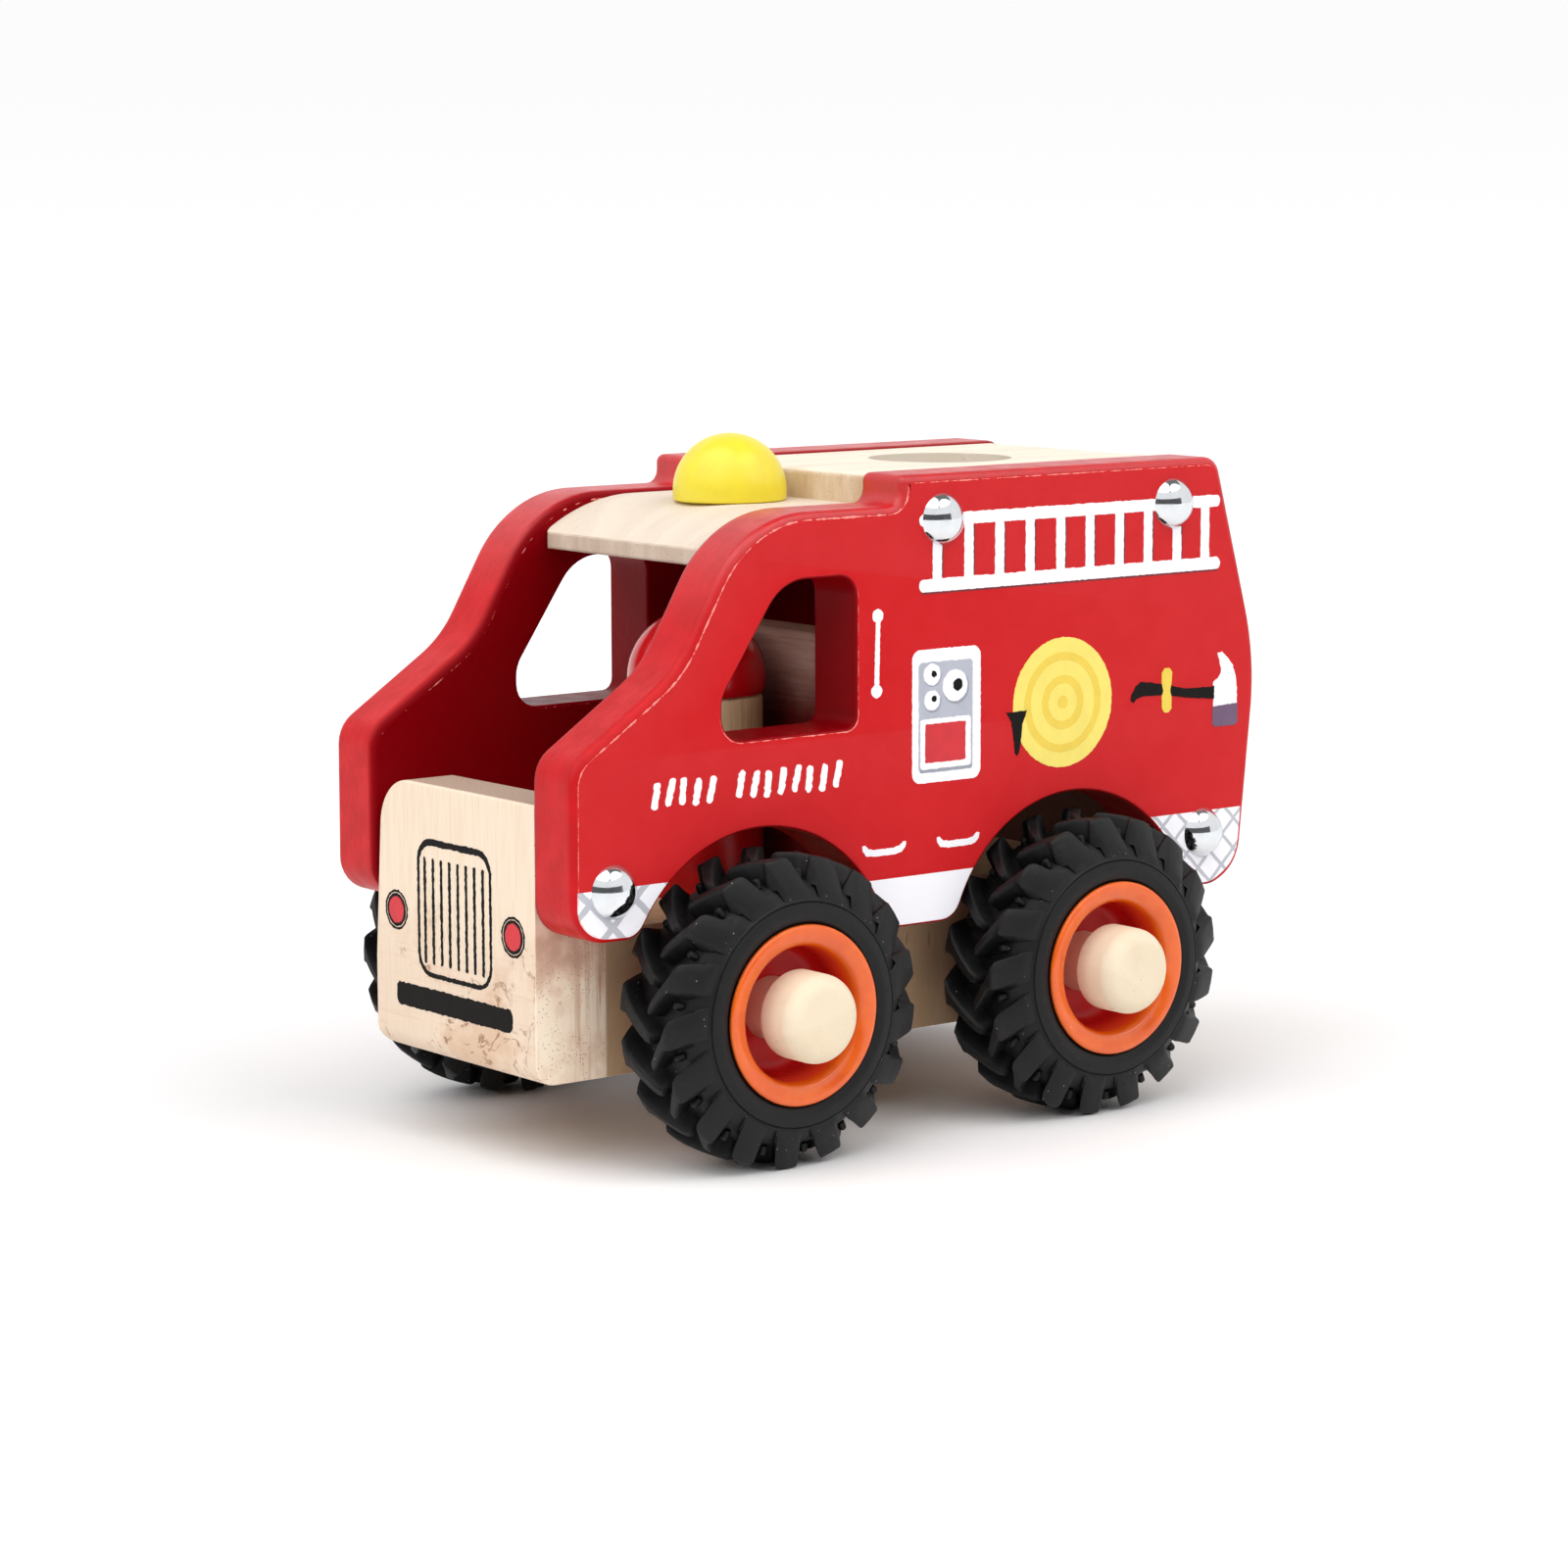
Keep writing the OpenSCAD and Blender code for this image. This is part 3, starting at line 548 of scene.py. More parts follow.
def eased(name, node, material, width=0.5):
    """A copy of a CAD block with its sharp edges lightly sanded."""
    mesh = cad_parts[node].data.copy()
    mesh.name = name
    bm = bmesh.new()
    bm.from_mesh(mesh)
    bmesh.ops.remove_doubles(bm, verts=bm.verts, dist=1e-6)
    bmesh.ops.dissolve_limit(bm, angle_limit=math.radians(1), verts=bm.verts, edges=bm.edges)
    bm.to_mesh(mesh)
    bm.free()
    mesh.polygons.foreach_set("use_smooth", [True] * len(mesh.polygons))
    mesh.materials.clear()
    mesh.materials.append(MAT[material])
    piece = bpy.data.objects.new(name, mesh)
    bpy.context.scene.collection.objects.link(piece)
    ease = piece.modifiers.new("ease", "BEVEL")
    ease.width, ease.segments, ease.limit_method, ease.angle_limit = width * MM, 3, "ANGLE", math.radians(40)
    piece.modifiers.new("even", "WEIGHTED_NORMAL").weight = 90
    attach(piece, "body")
    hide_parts(node)


# ---- Side panels ------------------------------------------------------------


def face_outlines(node, x):
    """Closed outlines (y, z) round a node's flat face at that x, longest first."""
    bm = bmesh.new()
    bm.from_mesh(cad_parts[node].data)
    bmesh.ops.remove_doubles(bm, verts=bm.verts, dist=1e-6)
    bm.verts.index_update()

    def flat(f):
        return all(abs(v.co.x / MM - x) < 0.01 for v in f.verts)

    near = {}
    for e in bm.edges:
        if len(e.link_faces) == 2 and flat(e.link_faces[0]) != flat(e.link_faces[1]):
            for v in e.verts:
                near.setdefault(v.index, []).append(e.other_vert(v).index)
    bm.verts.ensure_lookup_table()
    loops = []
    while near:
        start = min(near)
        loop, last, here = [], None, start
        while True:
            loop.append(here)
            ahead = [n for n in near[here] if n != last]
            last, here = here, ahead[0]
            if here == start:
                break
        for i in loop:
            near.pop(i)
        loops.append([Vector((bm.verts[i].co.y, bm.verts[i].co.z)) / MM for i in loop])
    bm.free()
    kept = [[p for p, q in zip(loop, loop[1:] + loop[:1]) if (p - q).length > 0.05] for loop in loops]
    return sorted(kept, key=lambda p: -sum((a - b).length for a, b in zip(p, p[1:])))


def area(loop):
    """Signed area: positive if the loop runs anticlockwise."""
    return sum(a.x * b.y - b.x * a.y for a, b in zip(loop, loop[1:] + loop[:1])) / 2


def inset(loop, distances):
    """Moves each point of a closed loop to the loop's left by its own distance."""
    moved = []
    for i, (p, d) in enumerate(zip(loop, distances)):
        u, v = (p - loop[i - 1]).normalized(), (loop[(i + 1) % len(loop)] - p).normalized()
        m, n = Vector((-u.y, u.x)), Vector((-v.y, v.x))
        moved.append(p + (m + n) * d / max(0.4, 1 + m.dot(n)))
    return moved


def softened(values, passes=3):
    """Evens out a closed row of values."""
    for _ in range(passes):
        values = [(values[i - 1] + 2 * v + values[(i + 1) % len(values)]) / 4 for i, v in enumerate(values)]
    return values


ARCH_Y, ARCH_Z, ARCH_R = 0.9, 24, 24.2  # a wheel arch: how far behind its axle, how high and its reach
FLARE_R, FLARE_Z = 28.2, 38.3  # the arch's rounded lower corners lie this near and this low
BELLY_Z = 30.9
NOSE_Y = -50


def edge_radius(p):
    """Rounding of a panel's outline there: generous round the body, slight in the arches and at the belly."""
    for axle_y in AXLES.values():
        away = math.hypot(p.x - axle_y - ARCH_Y, p.y - ARCH_Z)
        if away < ARCH_R or (away < FLARE_R and p.y < FLARE_Z):
            return 0.4
    if p.y < BELLY_Z:
        return 0.5
    return 0.8 if p.x < NOSE_Y and p.y < 42 else 1.2


def edge_rub(p):
    """How much paint is rubbed off the edge there: most over the cab and windscreen, none in the arches."""
    if edge_radius(p) < 0.6:
        return 0.0
    if p.x < -2 and p.y > 58:
        return 1.0
    return 0.45 if p.x < NOSE_Y else 0.12


def window_rub(p):
    """The same for the window: its sill is rubbed."""
    return 0.9 if p.y < 62.5 else 0.12


def edge_shade(p):
    """How much painted shade darkens the brushed paint there: deepest in the arches."""
    return 0.6 if edge_radius(p) < 0.6 else 0.0


def panel(side, name, node):
    """A side panel with rounded edges. flat marks the printed face, wear the line where the face meets the
    edge, rub how strongly that line is worn and shade the painted shade in the arches and window."""
    outline, window = face_outlines(node, side * FACE_X)[:2]
    loops = [outline if area(outline) > 0 else outline[::-1], window if area(window) < 0 else window[::-1]]
    radii = [softened([edge_radius(p) for p in loops[0]]), [0.4] * len(loops[1])]
    rubs = [softened([edge_rub(p) for p in loops[0]]), softened([window_rub(p) for p in loops[1]])]
    # Painted shade: the arches and the whole window edge get darker paint for the shade in them
    shades = [softened([edge_shade(p) for p in loops[0]]), [0.9] * len(loops[1])]
    steps = 5
    quarter = [math.pi / 2 * k / steps for k in range(steps + 1)]
    last = quarter[-1]
    # Rows from the inner face to the outer one: share of the rounding moved in, distance on from there,
    # depth as a share of the rounding, whether it is measured from outside, flat and wear
    rows = [(1, 0.35, 0, 0, 0, 0)]
    # The inner face's edge carries a weaker worn line (0.7): partly wear, partly a painted highlight along
    # the inner edge
    rows += [(1 - math.sin(t), 0, 1 - math.cos(t), 0, 0, 0.7 if t == 0 else 0) for t in quarter]
    rows += [(0, 0, 1.4, 0, 0, 0), (0, 0, 1.4, 1, 0, 0)]
    rows += [(1 - math.cos(t), 0, 1 - math.sin(t), 1, int(t == last), int(t == last)) for t in quarter]
    rows.append((1, 0.35, 0, 1, 1, 0))
    verts, faces, flat, wear, rub, shade = [], [], [], [], [], []
    ends = ([], [])
    for loop, radius, rubbed, painted_shade in zip(loops, radii, rubs, shades):
        starts = []
        for share, beyond, depth, outside, is_flat, worn in rows:
            starts.append(len(verts))
            ring = inset(loop, [r * share + beyond for r in radius])
            for p, r in zip(ring, radius):
                verts.append((side * (FACE_X - r * depth if outside else INNER_X + r * depth), p.x, p.y))
            flat += [float(is_flat)] * len(ring)
            wear += [float(worn)] * len(ring)
            rub += rubbed
            shade += painted_shade
        n = len(loop)
        for a, b in zip(starts, starts[1:]):
            faces += [[a + i, a + (i + 1) % n, b + (i + 1) % n, b + i] for i in range(n)]
        ends[0].append(range(starts[0], starts[0] + n))
        ends[1].append(range(starts[-1], starts[-1] + n))
    for cap in ends:
        index = [i for ring in cap for i in ring]
        rings = [[Vector((verts[i][1], verts[i][2], 0)) for i in ring] for ring in cap]
        faces += [[index[i] for i in tri] for tri in tessellate_polygon(rings)]
    values = {"flat": flat, "wear": wear, "rub": rub, "shade": shade}
    make(name, verts, faces, "panel", "body", node, "red_paint", values, 60)


panel(1, "painted_panel_left", "side_panel_left")
panel(-1, "painted_panel_right", "side_panel_right")


# ---- Boards, blocks and roof ------------------------------------------------

eased("sanded_front_board", "front_board", "board", 0.25)
eased("sanded_rear_board", "rear_board", "rear", 0.6)
eased("sanded_chassis_block", "chassis_block", "block", 0.3)
eased("sanded_partition", "partition", "inner", 0.5)
eased("sanded_cab_roof", "cab_roof", "roof", 0.35)
eased("sanded_roof_deck", "roof_deck", "deck", 0.6)
for hidden in ("beacon_dowel", "cab_roof_dowels", "front_board_dowels", "rear_board_dowels"):
    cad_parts[hidden].data.materials.clear()
    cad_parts[hidden].data.materials.append(MAT["peg"])


# ---- Prints -----------------------------------------------------------------


def rough(points, amount=0.05, step=0.4, seed=0.0):
    """The uneven edge of a hand-pulled print."""
    out = []
    for a, b in zip(points, points[1:] + points[:1]):
        a, b = Vector(a), Vector(b)
        n = max(1, round((b - a).length / step))
        out += [a.lerp(b, k / n) for k in range(n)]
    return [
        (
            p.x + amount * noise.noise(Vector((p.x * 1.9, p.y * 1.9, seed))),
            p.y + amount * noise.noise(Vector((p.x * 1.9, p.y * 1.9, seed + 20))),
        )
        for p in out
    ]


def disc(u, v, r):
    n = max(16, round(r * 14))
    return [(u + r * math.cos(2 * math.pi * i / n), v + r * math.sin(2 * math.pi * i / n)) for i in range(n)]


def box(u0, v0, u1, v1, r=0.0):
    return rounded([(u0, v0, r), (u1, v0, r), (u1, v1, r), (u0, v1, r)])


def stroke(a, b, width):
    """A straight stroke with round ends."""
    a, b = Vector(a), Vector(b)
    u = (b - a).normalized() * width / 2
    v = Vector((-u.y, u.x))
    ends = []
    for centre, sign in ((b, 1), (a, -1)):
        for k in range(9):
            t = math.pi * k / 8
            ends.append(tuple(centre + sign * (u * math.sin(t) - v * math.cos(t))))
    return ends


def inked(outlines, amount=0.12):
    """Separate shapes with uneven edges, for prints()."""
    return [[rough(o, amount)] for o in outlines]


def prints(name, shapes, material, place, lift):
    """Thin layers of print: each shape is an outline followed by its holes, raised by lift from the face."""
    verts, faces = [], []
    for outlines in shapes:
        rings = [[Vector((u, v, 0)) for u, v in o] for o in outlines]
        index = []
        for ring in rings:
            start, n = len(verts), len(ring)
            index += range(start, start + n)
            verts += [place(p.x, p.y, lift) for p in ring] + [place(p.x, p.y, -0.1) for p in ring]
            for i in range(n):
                j = (i + 1) % n
                faces.append([start + i, start + j, start + n + j, start + n + i])
        below = []
        for ring, first in zip(rings, [sum(2 * len(r) for r in rings[:k]) for k in range(len(rings))]):
            below += range(index[0] + first + len(ring), index[0] + first + 2 * len(ring))
        for tri in tessellate_polygon(rings):
            faces.append([index[i] for i in tri])
            faces.append([below[i] for i in reversed(tri)])
    make(name, verts, faces, material, "body", sharp=20)


LADDER = [stroke((-1.9, 89.9), (55.8, 89.9), 1.8), stroke((-1.9, 80.4), (55.8, 80.4), 1.9)]
RUNGS = [-0.3, 5.7, 11.6, 17.5, 23.5, 29.3, 35.2, 41.0, 46.9, 52.7]
RUNG_W = 1.75
SMILES = [
    [
        (y, 43.3), (y + 0.1, 42.5), (y + 0.7, 41.8), (y + 2.2, 41.6), (y + 5.8, 41.6), (y + 7.3, 41.8),
        (y + 8.0, 42.5), (y + 8.2, 43.3), (y + 7.7, 43.4), (y + 6.9, 42.8), (y + 5.8, 42.6), (y + 2.2, 42.6),
        (y + 1.2, 42.8), (y + 0.5, 43.4),
    ]
    for y in (-13.4, 0.6)
]


def slanted_bars(y0, y1, count):
    """Generic slanted bars in place of the lettering."""
    pitch = (y1 - y0) / count
    bars = []
    for i in range(count):
        y = y0 + pitch * (i + 0.25)
        lean = 0.5 + 0.25 * math.sin(i * 2.1)
        low = 52.2 + 0.2 * math.sin(i * 1.7 + y0)
        bars.append(stroke((y, low + 0.55), (y + lean, low + 3.4), 1.15))
    return bars


HOSE = (24.95, 61.35)
HOSE_R = 9.75
NOZZLE = [
    (13.9, 60.6), (17.9, 60.7), (17.0, 58.8), (16.8, 56.8), (16.4, 54.6), (16.0, 54.0), (15.6, 54.5),
    (15.3, 56.9), (14.9, 59.2),
]
AXE_HANDLE = [
    [
        (38.6, 60.4), (39.2, 60.1), (39.8, 60.7), (41.0, 61.0), (42.9, 60.9), (45.2, 60.9), (45.2, 62.5),
        (42.9, 62.9), (40.7, 63.2), (39.6, 62.6), (38.8, 61.4),
    ],
    [(46.6, 62.2), (49.9, 61.5), (55.8, 61.4), (55.8, 59.5), (49.9, 60.1), (46.6, 60.7)],
]
AXE_HEAD = [
    (56.5, 66.5), (57.4, 66.6), (58.6, 65.7), (59.7, 64.4), (60.4, 62.4), (60.6, 60.5), (60.6, 58.2),
    (55.7, 58.0), (55.6, 62.1), (56.6, 62.6), (57.2, 63.4), (57.2, 64.4), (56.7, 65.8),
]
AXE_BLOCK = [(55.6, 58.3), (60.7, 58.5), (60.8, 55.5), (59.9, 55.1), (56.0, 55.1), (55.4, 55.7)]
CLIP = [
    (45.0, 58.7), (45.5, 58.1), (46.3, 58.1), (46.9, 58.7), (46.9, 60.4), (46.6, 61.5), (46.9, 62.6),
    (47.0, 64.3), (46.4, 64.9), (45.5, 64.9), (44.9, 64.3), (44.9, 62.6), (45.2, 61.5), (44.9, 60.4),
]

for side, word in ((1, "left"), (-1, "right")):

    def on_panel(y, z, h, side=side):
        return side * (FACE_X + h), y, z

    handle = stroke((-10.45, 76.5), (-10.75, 65.8), 0.85)
    bars = slanted_bars(-51.1, -39.1, 5) + slanted_bars(-36.3, -16.4, 8)
    white = inked(LADDER + [handle, box(-4.1, 51.5, 8.9, 71.1, 1.5)] + SMILES)
    white += [[rough(o, 0.2, 0.4, i)] for i, o in enumerate(bars)]
    prints("print_white_" + word, white + inked([AXE_HEAD], 0.15), "white", on_panel, 0.03)
    rungs = [[rough(box(y, 80.6, y + RUNG_W, 89.7), 0.12, 0.4, y)] for y in RUNGS]
    rungs += inked([disc(-10.5, 76.6, 1.0), disc(-10.75, 65.7, 1.0)], 0.15)
    prints("print_rungs_" + word, rungs, "white", on_panel, 0.04)
    grey = inked([box(-2.9, 53.0, 7.35, 69.2, 0.7)])
    prints("print_panel_grey_" + word, grey, "grey", on_panel, 0.05)
    slate = [[box(-2.6, 53.05, 7.2, 53.6, 0.1)]]
    slate += inked([disc(4.2, 65.2, 2.5), disc(-0.25, 67.15, 1.65), disc(-0.25, 63.35, 1.65)], 0.1)
    prints("print_panel_shadow_" + word, slate, "slate", on_panel, 0.06)
    gauges = inked([disc(-0.4, 67.4, 1.6), disc(-0.4, 63.6, 1.5), disc(4.0, 65.5, 2.35)], 0.15)
    gauges += [[rough(o, 0.12) for o in (box(-2.6, 53.5, 7.0, 60.9, 0.5), box(-1.7, 54.4, 6.0, 60.15, 0.3))]]
    prints("print_gauges_" + word, gauges, "white", on_panel, 0.07)
    red = inked([box(-1.8, 54.3, 6.1, 60.25, 0.3)], 0.1)
    prints("print_gauge_red_" + word, red, "red", on_panel, 0.06)
    black = inked([disc(0.0, 67.4, 0.5), disc(0.0, 63.8, 0.5), disc(4.5, 65.6, 0.95)], 0.2)
    black += inked([NOZZLE] + AXE_HANDLE)
    prints("print_black_" + word, black, "black", on_panel, 0.09)
    prints("print_hose_" + word, inked([disc(*HOSE, HOSE_R)]), "yellow", on_panel, 0.05)
    hose_rings = [
        [rough(disc(*HOSE, HOSE_R * outer), 0.12), rough(disc(*HOSE, HOSE_R * inner), 0.12)[::-1]]
        for outer, inner in ((0.773, 0.647), (0.42, 0.29))
    ]
    hose_rings += inked([disc(*HOSE, HOSE_R * 0.106)], 0.1)
    prints("print_hose_rings_" + word, hose_rings, "gold", on_panel, 0.07)
    prints("print_axe_clip_" + word, inked([CLIP], 0.1), "gold", on_panel, 0.11)
    prints("print_axe_block_" + word, inked([AXE_BLOCK]), "plum", on_panel, 0.08)
    shades = [[box(y + RUNG_W, 81.6, y + RUNG_W + 0.28, 88.8)] for y in RUNGS[:-1]]
    shades += [[box(-2.4, 79.15, 56.2, 79.5)]]
    prints("print_ladder_shadow_" + word, shades, "shade", on_panel, 0.025)


def on_board(x, z, h):
    return x, BOARD_Y - h, z


GRILLE_X, GRILLE_PITCH, GRILLE_LINES = -7.4, 2.13, 8
LAMPS = [(-15, 33.5), (15, 33.5)]
frame_outer, frame_inner = box(-9.4, 24.7, 9.7, 45.0, 3.5), box(-8.75, 25.4, 9.1, 44.0, 2.9)
grille = [[rough(frame_outer, 0.16, 0.3, 1), rough(frame_inner, 0.16, 0.3, 2)]]
for i in range(GRILLE_LINES):
    x = GRILLE_X + i * GRILLE_PITCH
    grille.append([rough(stroke((x, 27.0), (x, 41.9), 0.66), 0.16, 0.3, i)])
grille += [[rough(box(-15.2, 19.6, 14.7, 23.0, 1.2), 0.22, 0.3, 5)]]
grille += [[rough(disc(*at, 2.95), 0.16, 0.3, 6), rough(disc(*at, 2.6), 0.1, 0.3, 7)] for at in LAMPS]
grille += [[rough(disc(*at, 2.45), 0.1, 0.3, 8)] for at in LAMPS]
prints("print_grille", grille, "black", on_board, 0.03)
prints("print_lamps", [[rough(disc(*at, 1.95), 0.15, 0.5, 9)] for at in LAMPS], "red", on_board, 0.05)


# ---- Bolts, beacon and driver -----------------------------------------------


def arc_profile(radius, centre, arc):
    """Profile (radius, height) of a ball from its top down, centred at a height."""
    points = [(radius * math.cos(t), centre + radius * math.sin(t)) for t in arc]
    return [(0.0, points[0][1])] + points[1:]


def bolts(side, name, node):
    """Plated domed bolts with their shanks."""
    dome_r, head_r, head_h, shank_r, shank_len = 4.3, 3.81, 2.4, 1.7, 22
    dome_x = FACE_X + head_h - dome_r
    arc = [math.radians(90 - 66 * k / 14) for k in range(15)]
    profile = arc_profile(dome_r, dome_x, arc)
    profile += [(head_r, FACE_X + 0.01), (shank_r, FACE_X), (shank_r, FACE_X - shank_len + 0.4)]
    profile += [(shank_r - 0.3, FACE_X - shank_len), (0, FACE_X - shank_len)]
    parts = []
    for y, z in BOLTS:

        def place(r, a, x, y=y, z=z):
            return side * x, y + r * math.cos(math.radians(a)), z + r * math.sin(math.radians(a))

        parts.append(turned(profile, place, 64))
    verts, faces = merged(parts)
    make(name, verts, faces, "metal", "body", node, "chrome")


bolts(1, "plated_bolts_left", "panel_bolts_left")
bolts(-1, "plated_bolts_right", "panel_bolts_right")


def dome(radius, base, centre_z, ease):
    """Profile of a ball cut flat at base, with an eased bottom edge."""
    low = math.degrees(math.asin((base + ease - centre_z) / radius))
    arc = [math.radians(90 - (90 - low) * k / 24) for k in range(25)]
    rim = radius * math.cos(arc[-1])
    profile = arc_profile(radius, centre_z, arc)
    eased_rim = [(rim - ease * 0.12, base + ease * 0.5), (rim - ease * 0.45, base + ease * 0.12)]
    return profile + eased_rim + [(rim - ease, base), (0, base)]


BEACON = dome(8.45, 93.2, 93.2, 0.001)[:25] + [(8.45, 92.2), (8.38, 91.9), (8.1, 91.72), (0, 91.72)]
make("painted_beacon", *turned(BEACON, upright(0, BEACON_Y)), "beacon", "body", "beacon", "yellow_paint")
helmet_mesh = turned(dome(10.3, 63.5, 65.7, 0.7), upright(0, DRIVER_Y))
make("painted_helmet", *helmet_mesh, "helmet", "driver", "driver_helmet", "red_paint")
DRIVER = rounded(
    [(0, 30, 0), (9.8, 30, 0.6), (9.8, 63.5, 0.9), (4, 63.5, 0), (4, 68.4, 0), (0, 68.4, 0)], closed=False
)
driver_mesh = turned(DRIVER, upright(0, DRIVER_Y))
make("turned_driver_body", *driver_mesh, "driver", "driver", "driver_body", "pale_wood")


# ---- Wheels -----------------------------------------------------------------

# (radius, distance from the middle plane, rounding)
AXLE_END = rounded(
    [
        (0, 46.6, 0), (6.4, 46.6, 2.4), (6.4, 39.2, 0.5), (4.5, 39.2, 0.2), (4.5, 33.0, 0), (6.4, 33.0, 0),
        (6.4, 30, 0),
    ],
    closed=False,
)
# (radius, distance): the hub, the inner flange, the seat of the tyre, the lip and the dish
RIM = [
    (4.55, 21.3), (8.3, 21.3), (8.5, 21.5), (8.5, 25.0), (12.8, 25.0), (13.1, 25.3), (13.1, 25.7),
    (12.0, 25.8), (12.0, 40.7), (12.7, 40.75), (12.93, 41.0), (12.97, 41.25), (12.88, 41.5), (12.65, 41.66),
    (12.3, 41.73), (11.9, 41.7), (11.4, 41.58), (10.9, 41.42), (10.5, 41.22), (10.15, 40.92), (9.92, 40.55),
    (9.76, 40.0), (9.66, 39.2), (9.6, 37.8), (9.5, 35.6), (9.35, 34.5), (9.0, 33.8), (8.4, 33.4),
    (7.6, 33.25), (4.55, 33.2),
]
DISH_X, DISH_DEPTH = 40.9, 6.5
# (radius, distance, rounding): the inner wall, the tread between the lugs and the outer wall with its groove
CARCASS = rounded([
    (12.0, 25.9, 0), (13.6, 25.9, 0.5), (15.2, 25.4, 1.2), (17.4, 25.7, 1.4), (18.9, 27.2, 1.2),
    (19.4, 30.0, 2), (19.6, 34.0, 4), (19.4, 37.4, 1.5), (18.8, 38.9, 1.2), (17.8, 40.0, 1.0),
    (16.6, 40.75, 0.8), (16.25, 41.1, 0.1), (16.1, 40.85, 0.05), (15.95, 41.2, 0.1), (14.6, 41.4, 1.0),
    (13.4, 41.1, 0.4), (13.0, 40.7, 0.1), (12.0, 40.7, 0),
])
# A lug's sections: distance from the tread's middle, turn in degrees, half width and top radius
LUG = [
    (-0.35, -0.9, 0.35, 21.4), (-0.15, -0.7, 0.62, 22.2), (0.3, 0.2, 0.82, 22.45), (1.2, 2.8, 0.92, 22.5),
    (2.3, 6.4, 0.98, 22.5), (3.2, 9.4, 1.05, 22.45), (3.7, 11.0, 1.35, 22.4), (4.0, 11.9, 1.8, 22.35),
    (4.3, 12.6, 1.98, 22.2), (4.45, 13.0, 2.02, 21.9), (5.05, 14.2, 2.05, 20.6), (5.65, 15.6, 2.05, 19.3),
    (6.25, 17.0, 2.0, 18.0), (6.4, 17.4, 1.85, 17.3), (6.4, 17.6, 1.6, 16.6),
]
TREAD_X = 34.4
INNER_ROW = 1.55  # how much longer the inner row's lugs are
LUGS = 17  # in each row
TREAD_R = 22.5
RAISED_R = 20.2  # the rubber's raised parts start here and are fully raised further out
RAISED_FADE = 1.6


def lug(place, angle, row):
    """One lug of the tread: a loft of eased sections; row 1 is the outer row and -1 the inner one."""
    verts, faces = [], []
    for along, turn, half, top in LUG:
        if row < 0:
            along += (INNER_ROW - 1) * min(along, 4.3)
        base = min(18.4, top - 0.9)
        left = [(-half - 0.35, base), (-half - 0.1, top - 0.7), (-half, top - 0.24), (-half + 0.24, top)]
        section = left + [(0.0, top + 0.02)] + [(-s, r) for s, r in reversed(left)]
        for s, r in section:
            verts.append(place(min(r, TREAD_R), angle + turn + math.degrees(s / r), TREAD_X + row * along))
    n = len(section)
    for k in range(len(LUG) - 1):
        for i in range(n):
            j = (i + 1) % n
            faces.append([k * n + i, k * n + j, (k + 1) * n + j, (k + 1) * n + i])
    faces.append(list(range(n)))
    faces.append([len(verts) - 1 - i for i in range(n)])
    return verts, faces


def pip(place, angle, x):
    """A small moulding pip standing on the tread between two lugs."""
    sides = 12
    rings = [(0.62, 19.3), (0.6, 20.2), (0.5, 20.45), (0.28, 20.6)]
    verts, faces = [], []
    for r, h in rings:
        for t in (k * math.pi * 2 / sides for k in range(sides)):
            verts.append(place(h, angle + math.degrees(r * math.cos(t) / h), x + r * math.sin(t)))
    for low in range(0, sides * (len(rings) - 1), sides):
        for i in range(sides):
            j = (i + 1) % sides
            faces.append([low + i, low + j, low + sides + j, low + sides + i])
    faces += [list(range(sides - 1, -1, -1)), list(range(len(verts) - sides, len(verts)))]
    return verts, faces


def wheel(end, side, word):
    """One rim and its tyre. The tread's phase differs between the axles as the wheels stopped."""
    place = on_axle(AXLES[end], side)
    body = end + "_wheels"
    phase = 6.7 if end == "front" else 11.0
    if side < 0:
        phase += 4.0
    where = f"{end}_{word}"
    verts, faces = turned(RIM, place, 128, True)
    deep = {"deep": [min(1.0, max(0.0, (DISH_X - abs(v[0])) / DISH_DEPTH)) for v in verts]}
    make("moulded_rim_" + where, verts, faces, "rim", body, "rim_" + where, "orange_plastic", deep, 50)
    parts = [turned(CARCASS, place, 144, True)]
    pitch = 360 / LUGS
    for k in range(LUGS):
        outer, inner = phase + k * pitch, phase + pitch / 2 + k * pitch
        parts += [lug(place, outer, 1), lug(place, inner, -1)]
        parts += [pip(place, outer + 2.6, TREAD_X + 3.6), pip(place, inner + 2.6, TREAD_X - 5)]
    verts, faces = merged(parts)
    carcass = len(parts[0][0])
    raised = [0.0] * carcass
    for x, y, z in verts[carcass:]:
        away = math.hypot(y - AXLES[end], z - AXLE_Z)
        raised.append(min(1.0, max(0.0, (away - RAISED_R) / RAISED_FADE)))
    raised = {"raised": raised}
    make("moulded_tyre_" + where, verts, faces, "rubber", body, "tyre_" + where, "black_rubber", raised, 40)


for end, axle_y in AXLES.items():
    shaft = turned(AXLE_END + [(r, -x) for r, x in reversed(AXLE_END)], on_axle(axle_y))
    make("turned_axle_" + end, *shaft, "peg", end + "_wheels", end + "_axle", "pale_wood")
    for side, word in ((1, "left"), (-1, "right")):
        wheel(end, side, word)


# ---- Stage, light and camera ------------------------------------------------


def plain(name, colour, roughness=0.7):
    return Graph(name, Roughness=roughness, Base_Color=colour).material


def glowing(name, low, high, top):
    """Even light from a backdrop, blending upwards from one colour to the other."""
    g = Graph(name, Base_Color=(0, 0, 0, 1), Roughness=1.0, Specular_IOR_Level=0.0, Emission_Strength=1.0)
    g.set(Emission_Color=g.mix(g.between(g.xyz(g.mm)[2], 0, top), low, high))
    return g.material


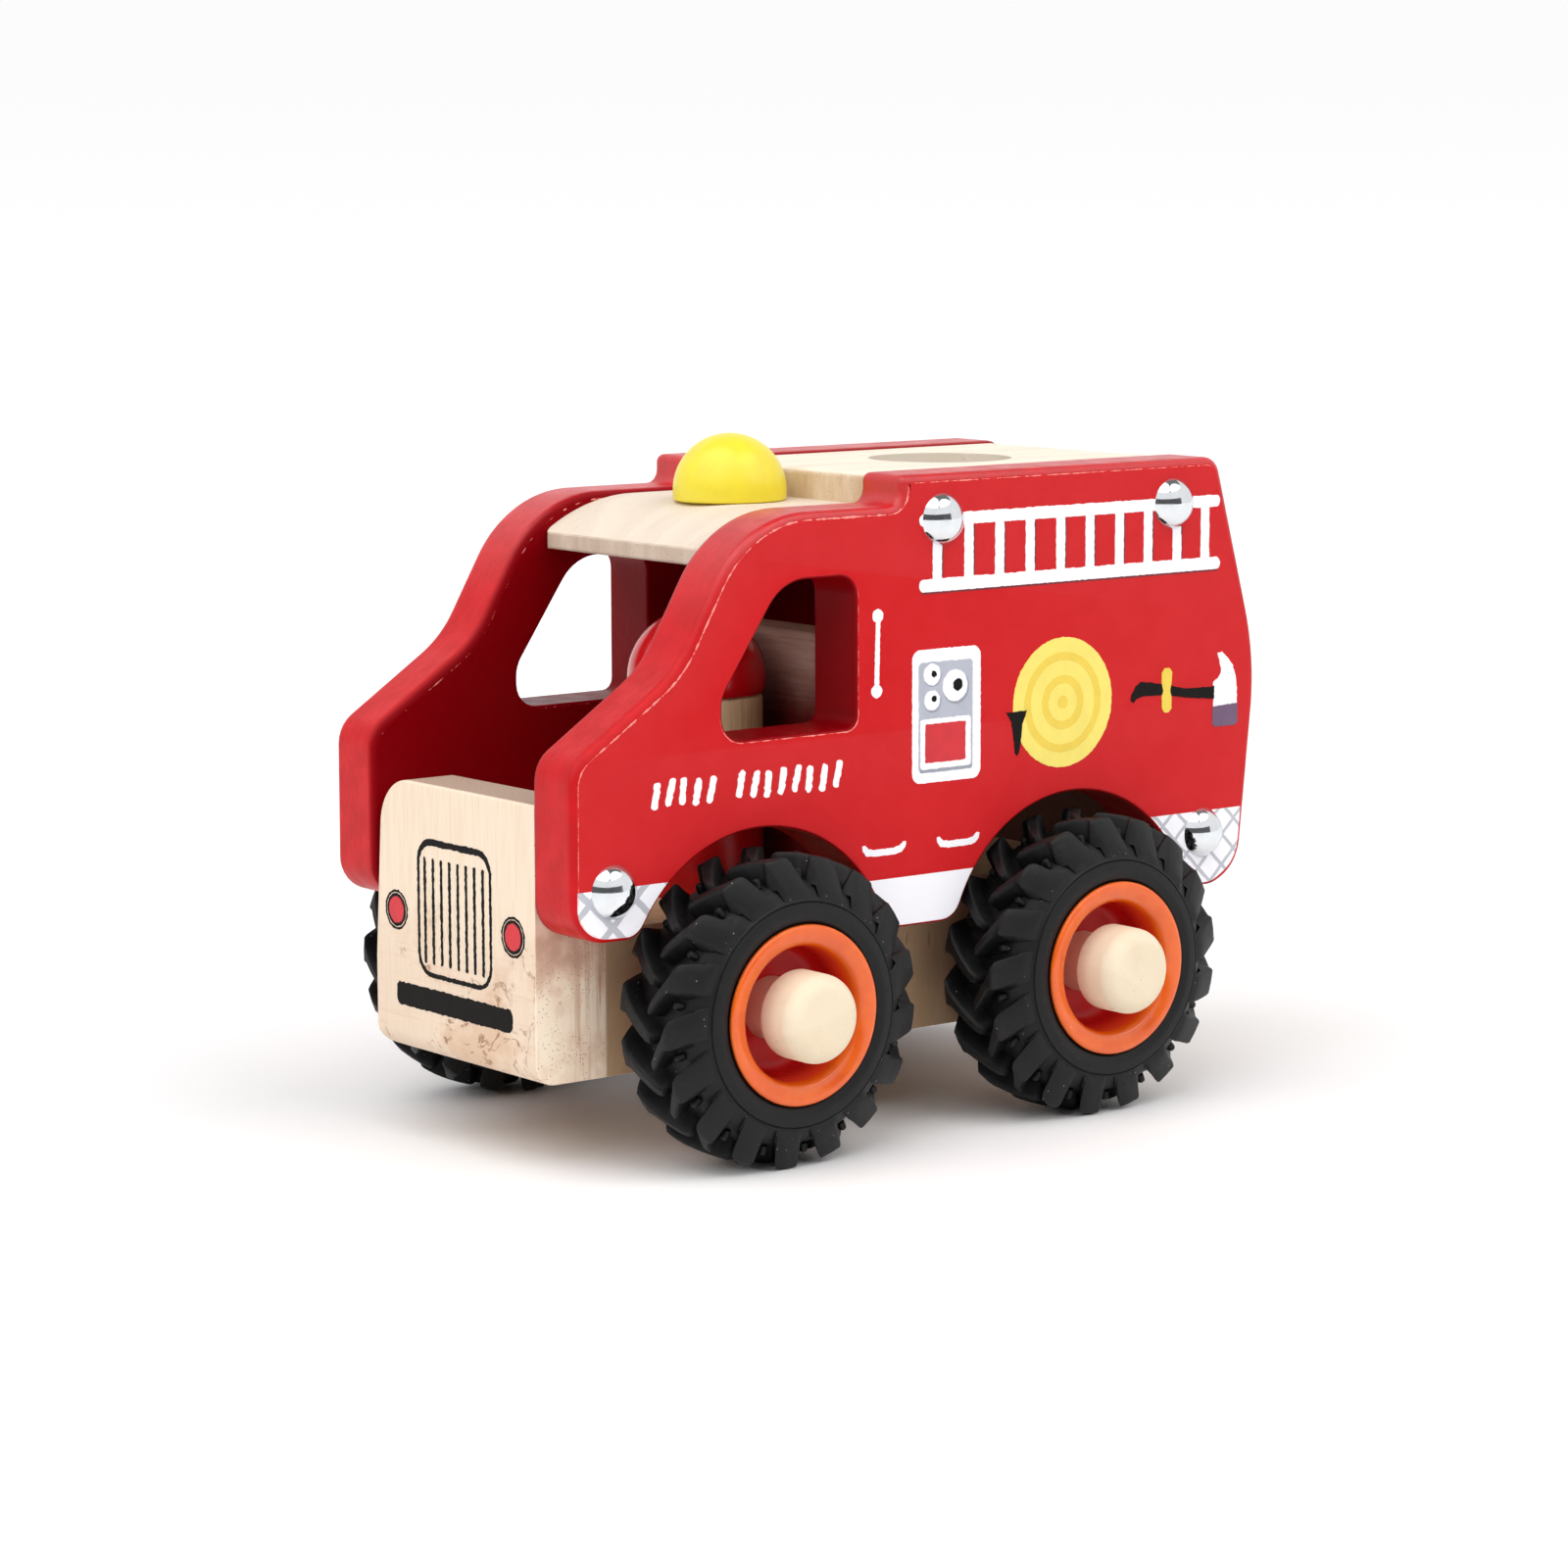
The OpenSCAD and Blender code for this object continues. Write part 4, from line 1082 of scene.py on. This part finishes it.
def staged(name, verts, faces, material, **seen):
    mesh = bpy.data.meshes.new(name)
    mesh.from_pydata(verts, [], faces)
    mesh.materials.append(material)
    ob = bpy.data.objects.new(name, mesh)
    bpy.context.scene.collection.objects.link(ob)
    for key, value in seen.items():
        setattr(ob, "visible_" + key, value)


SPAN = 5.0
staged(
    "floor", [(-SPAN, -SPAN, 0), (SPAN, -SPAN, 0), (SPAN, SPAN, 0), (-SPAN, SPAN, 0)], [(0, 1, 2, 3)],
    plain("pale_floor", (0.93, 0.925, 0.925, 1), 0.6),
)


def strip(radius, az0, az1, z0, z1, steps=48):
    """A curved upright strip round the toy; azimuth 0 is ahead of it and 90 is its left."""
    verts = []
    for k in range(steps + 1):
        a = math.radians(az0 + (az1 - az0) * k / steps)
        verts += [(radius * math.sin(a), -radius * math.cos(a), z) for z in (z0, z1)]
    return verts, [(2 * k, 2 * k + 2, 2 * k + 3, 2 * k + 1) for k in range(steps)]


backdrop = glowing("pale_backdrop", (1.0, 1.0, 1.0, 1), (0.985, 0.975, 0.978, 1), 260)
unseen = {"diffuse": False, "shadow": False, "transmission": False}
staged("backdrop", *strip(SPAN * 0.95, 0, 360, -0.5, SPAN, 96), backdrop, **unseen)
# Painted reflection: a dark card seen only in glossy reflections, for the dark band on the plated bolts
flag = plain("dark_flag", (0.1, 0.1, 0.105, 1))
staged("flag", *strip(1.5, -10, 118, 0.03, 0.6), flag, camera=False, **unseen)


def softlight(name, azimuth, elevation, strength, spread):
    """A broad distant light; azimuth 0 is ahead of the toy and 90 is its left."""
    light = bpy.data.lights.new(name, "SUN")
    light.energy, light.angle = strength, math.radians(spread)
    ob = bpy.data.objects.new(name, light)
    bpy.context.scene.collection.objects.link(ob)
    a, e = math.radians(azimuth), math.radians(elevation)
    back = Vector((math.sin(a) * math.cos(e), -math.cos(a) * math.cos(e), math.sin(e)))
    ob.location = back * 2
    ob.rotation_mode = "QUATERNION"
    ob.rotation_quaternion = back.to_track_quat("Z", "Y")


softlight("key_front", 6, 55, 2.7, 75)
softlight("key_side", 120, 42, 1.75, 60)

world = bpy.data.worlds.new("studio")
world.use_nodes = True
world.node_tree.nodes["Background"].inputs[0].default_value = (1.0, 0.995, 0.99, 1)
world.node_tree.nodes["Background"].inputs[1].default_value = 0.2
scene = bpy.context.scene
scene.world = world
scene.view_settings.view_transform = "Standard"

camera = bpy.data.objects.new("camera", bpy.data.cameras.new("camera"))
scene.collection.objects.link(camera)
azimuth, pitch, roll = math.radians(52.21), math.radians(-8.101), math.radians(-0.166)
ahead = Vector((-math.sin(azimuth) * math.cos(pitch), math.cos(azimuth) * math.cos(pitch), math.sin(pitch)))
right = Vector((math.cos(azimuth), math.sin(azimuth), 0))
up = right.cross(ahead)
right, up = right * math.cos(roll) + up * math.sin(roll), up * math.cos(roll) - right * math.sin(roll)
turn = Matrix((right, up, -ahead)).transposed().to_4x4()
camera.matrix_world = Matrix.Translation((0.527918, -0.41353, 0.143363)) @ turn
camera.data.lens, camera.data.sensor_width = 102.65, 36
camera.data.clip_start, camera.data.clip_end = 0.01, 20
scene.camera = camera
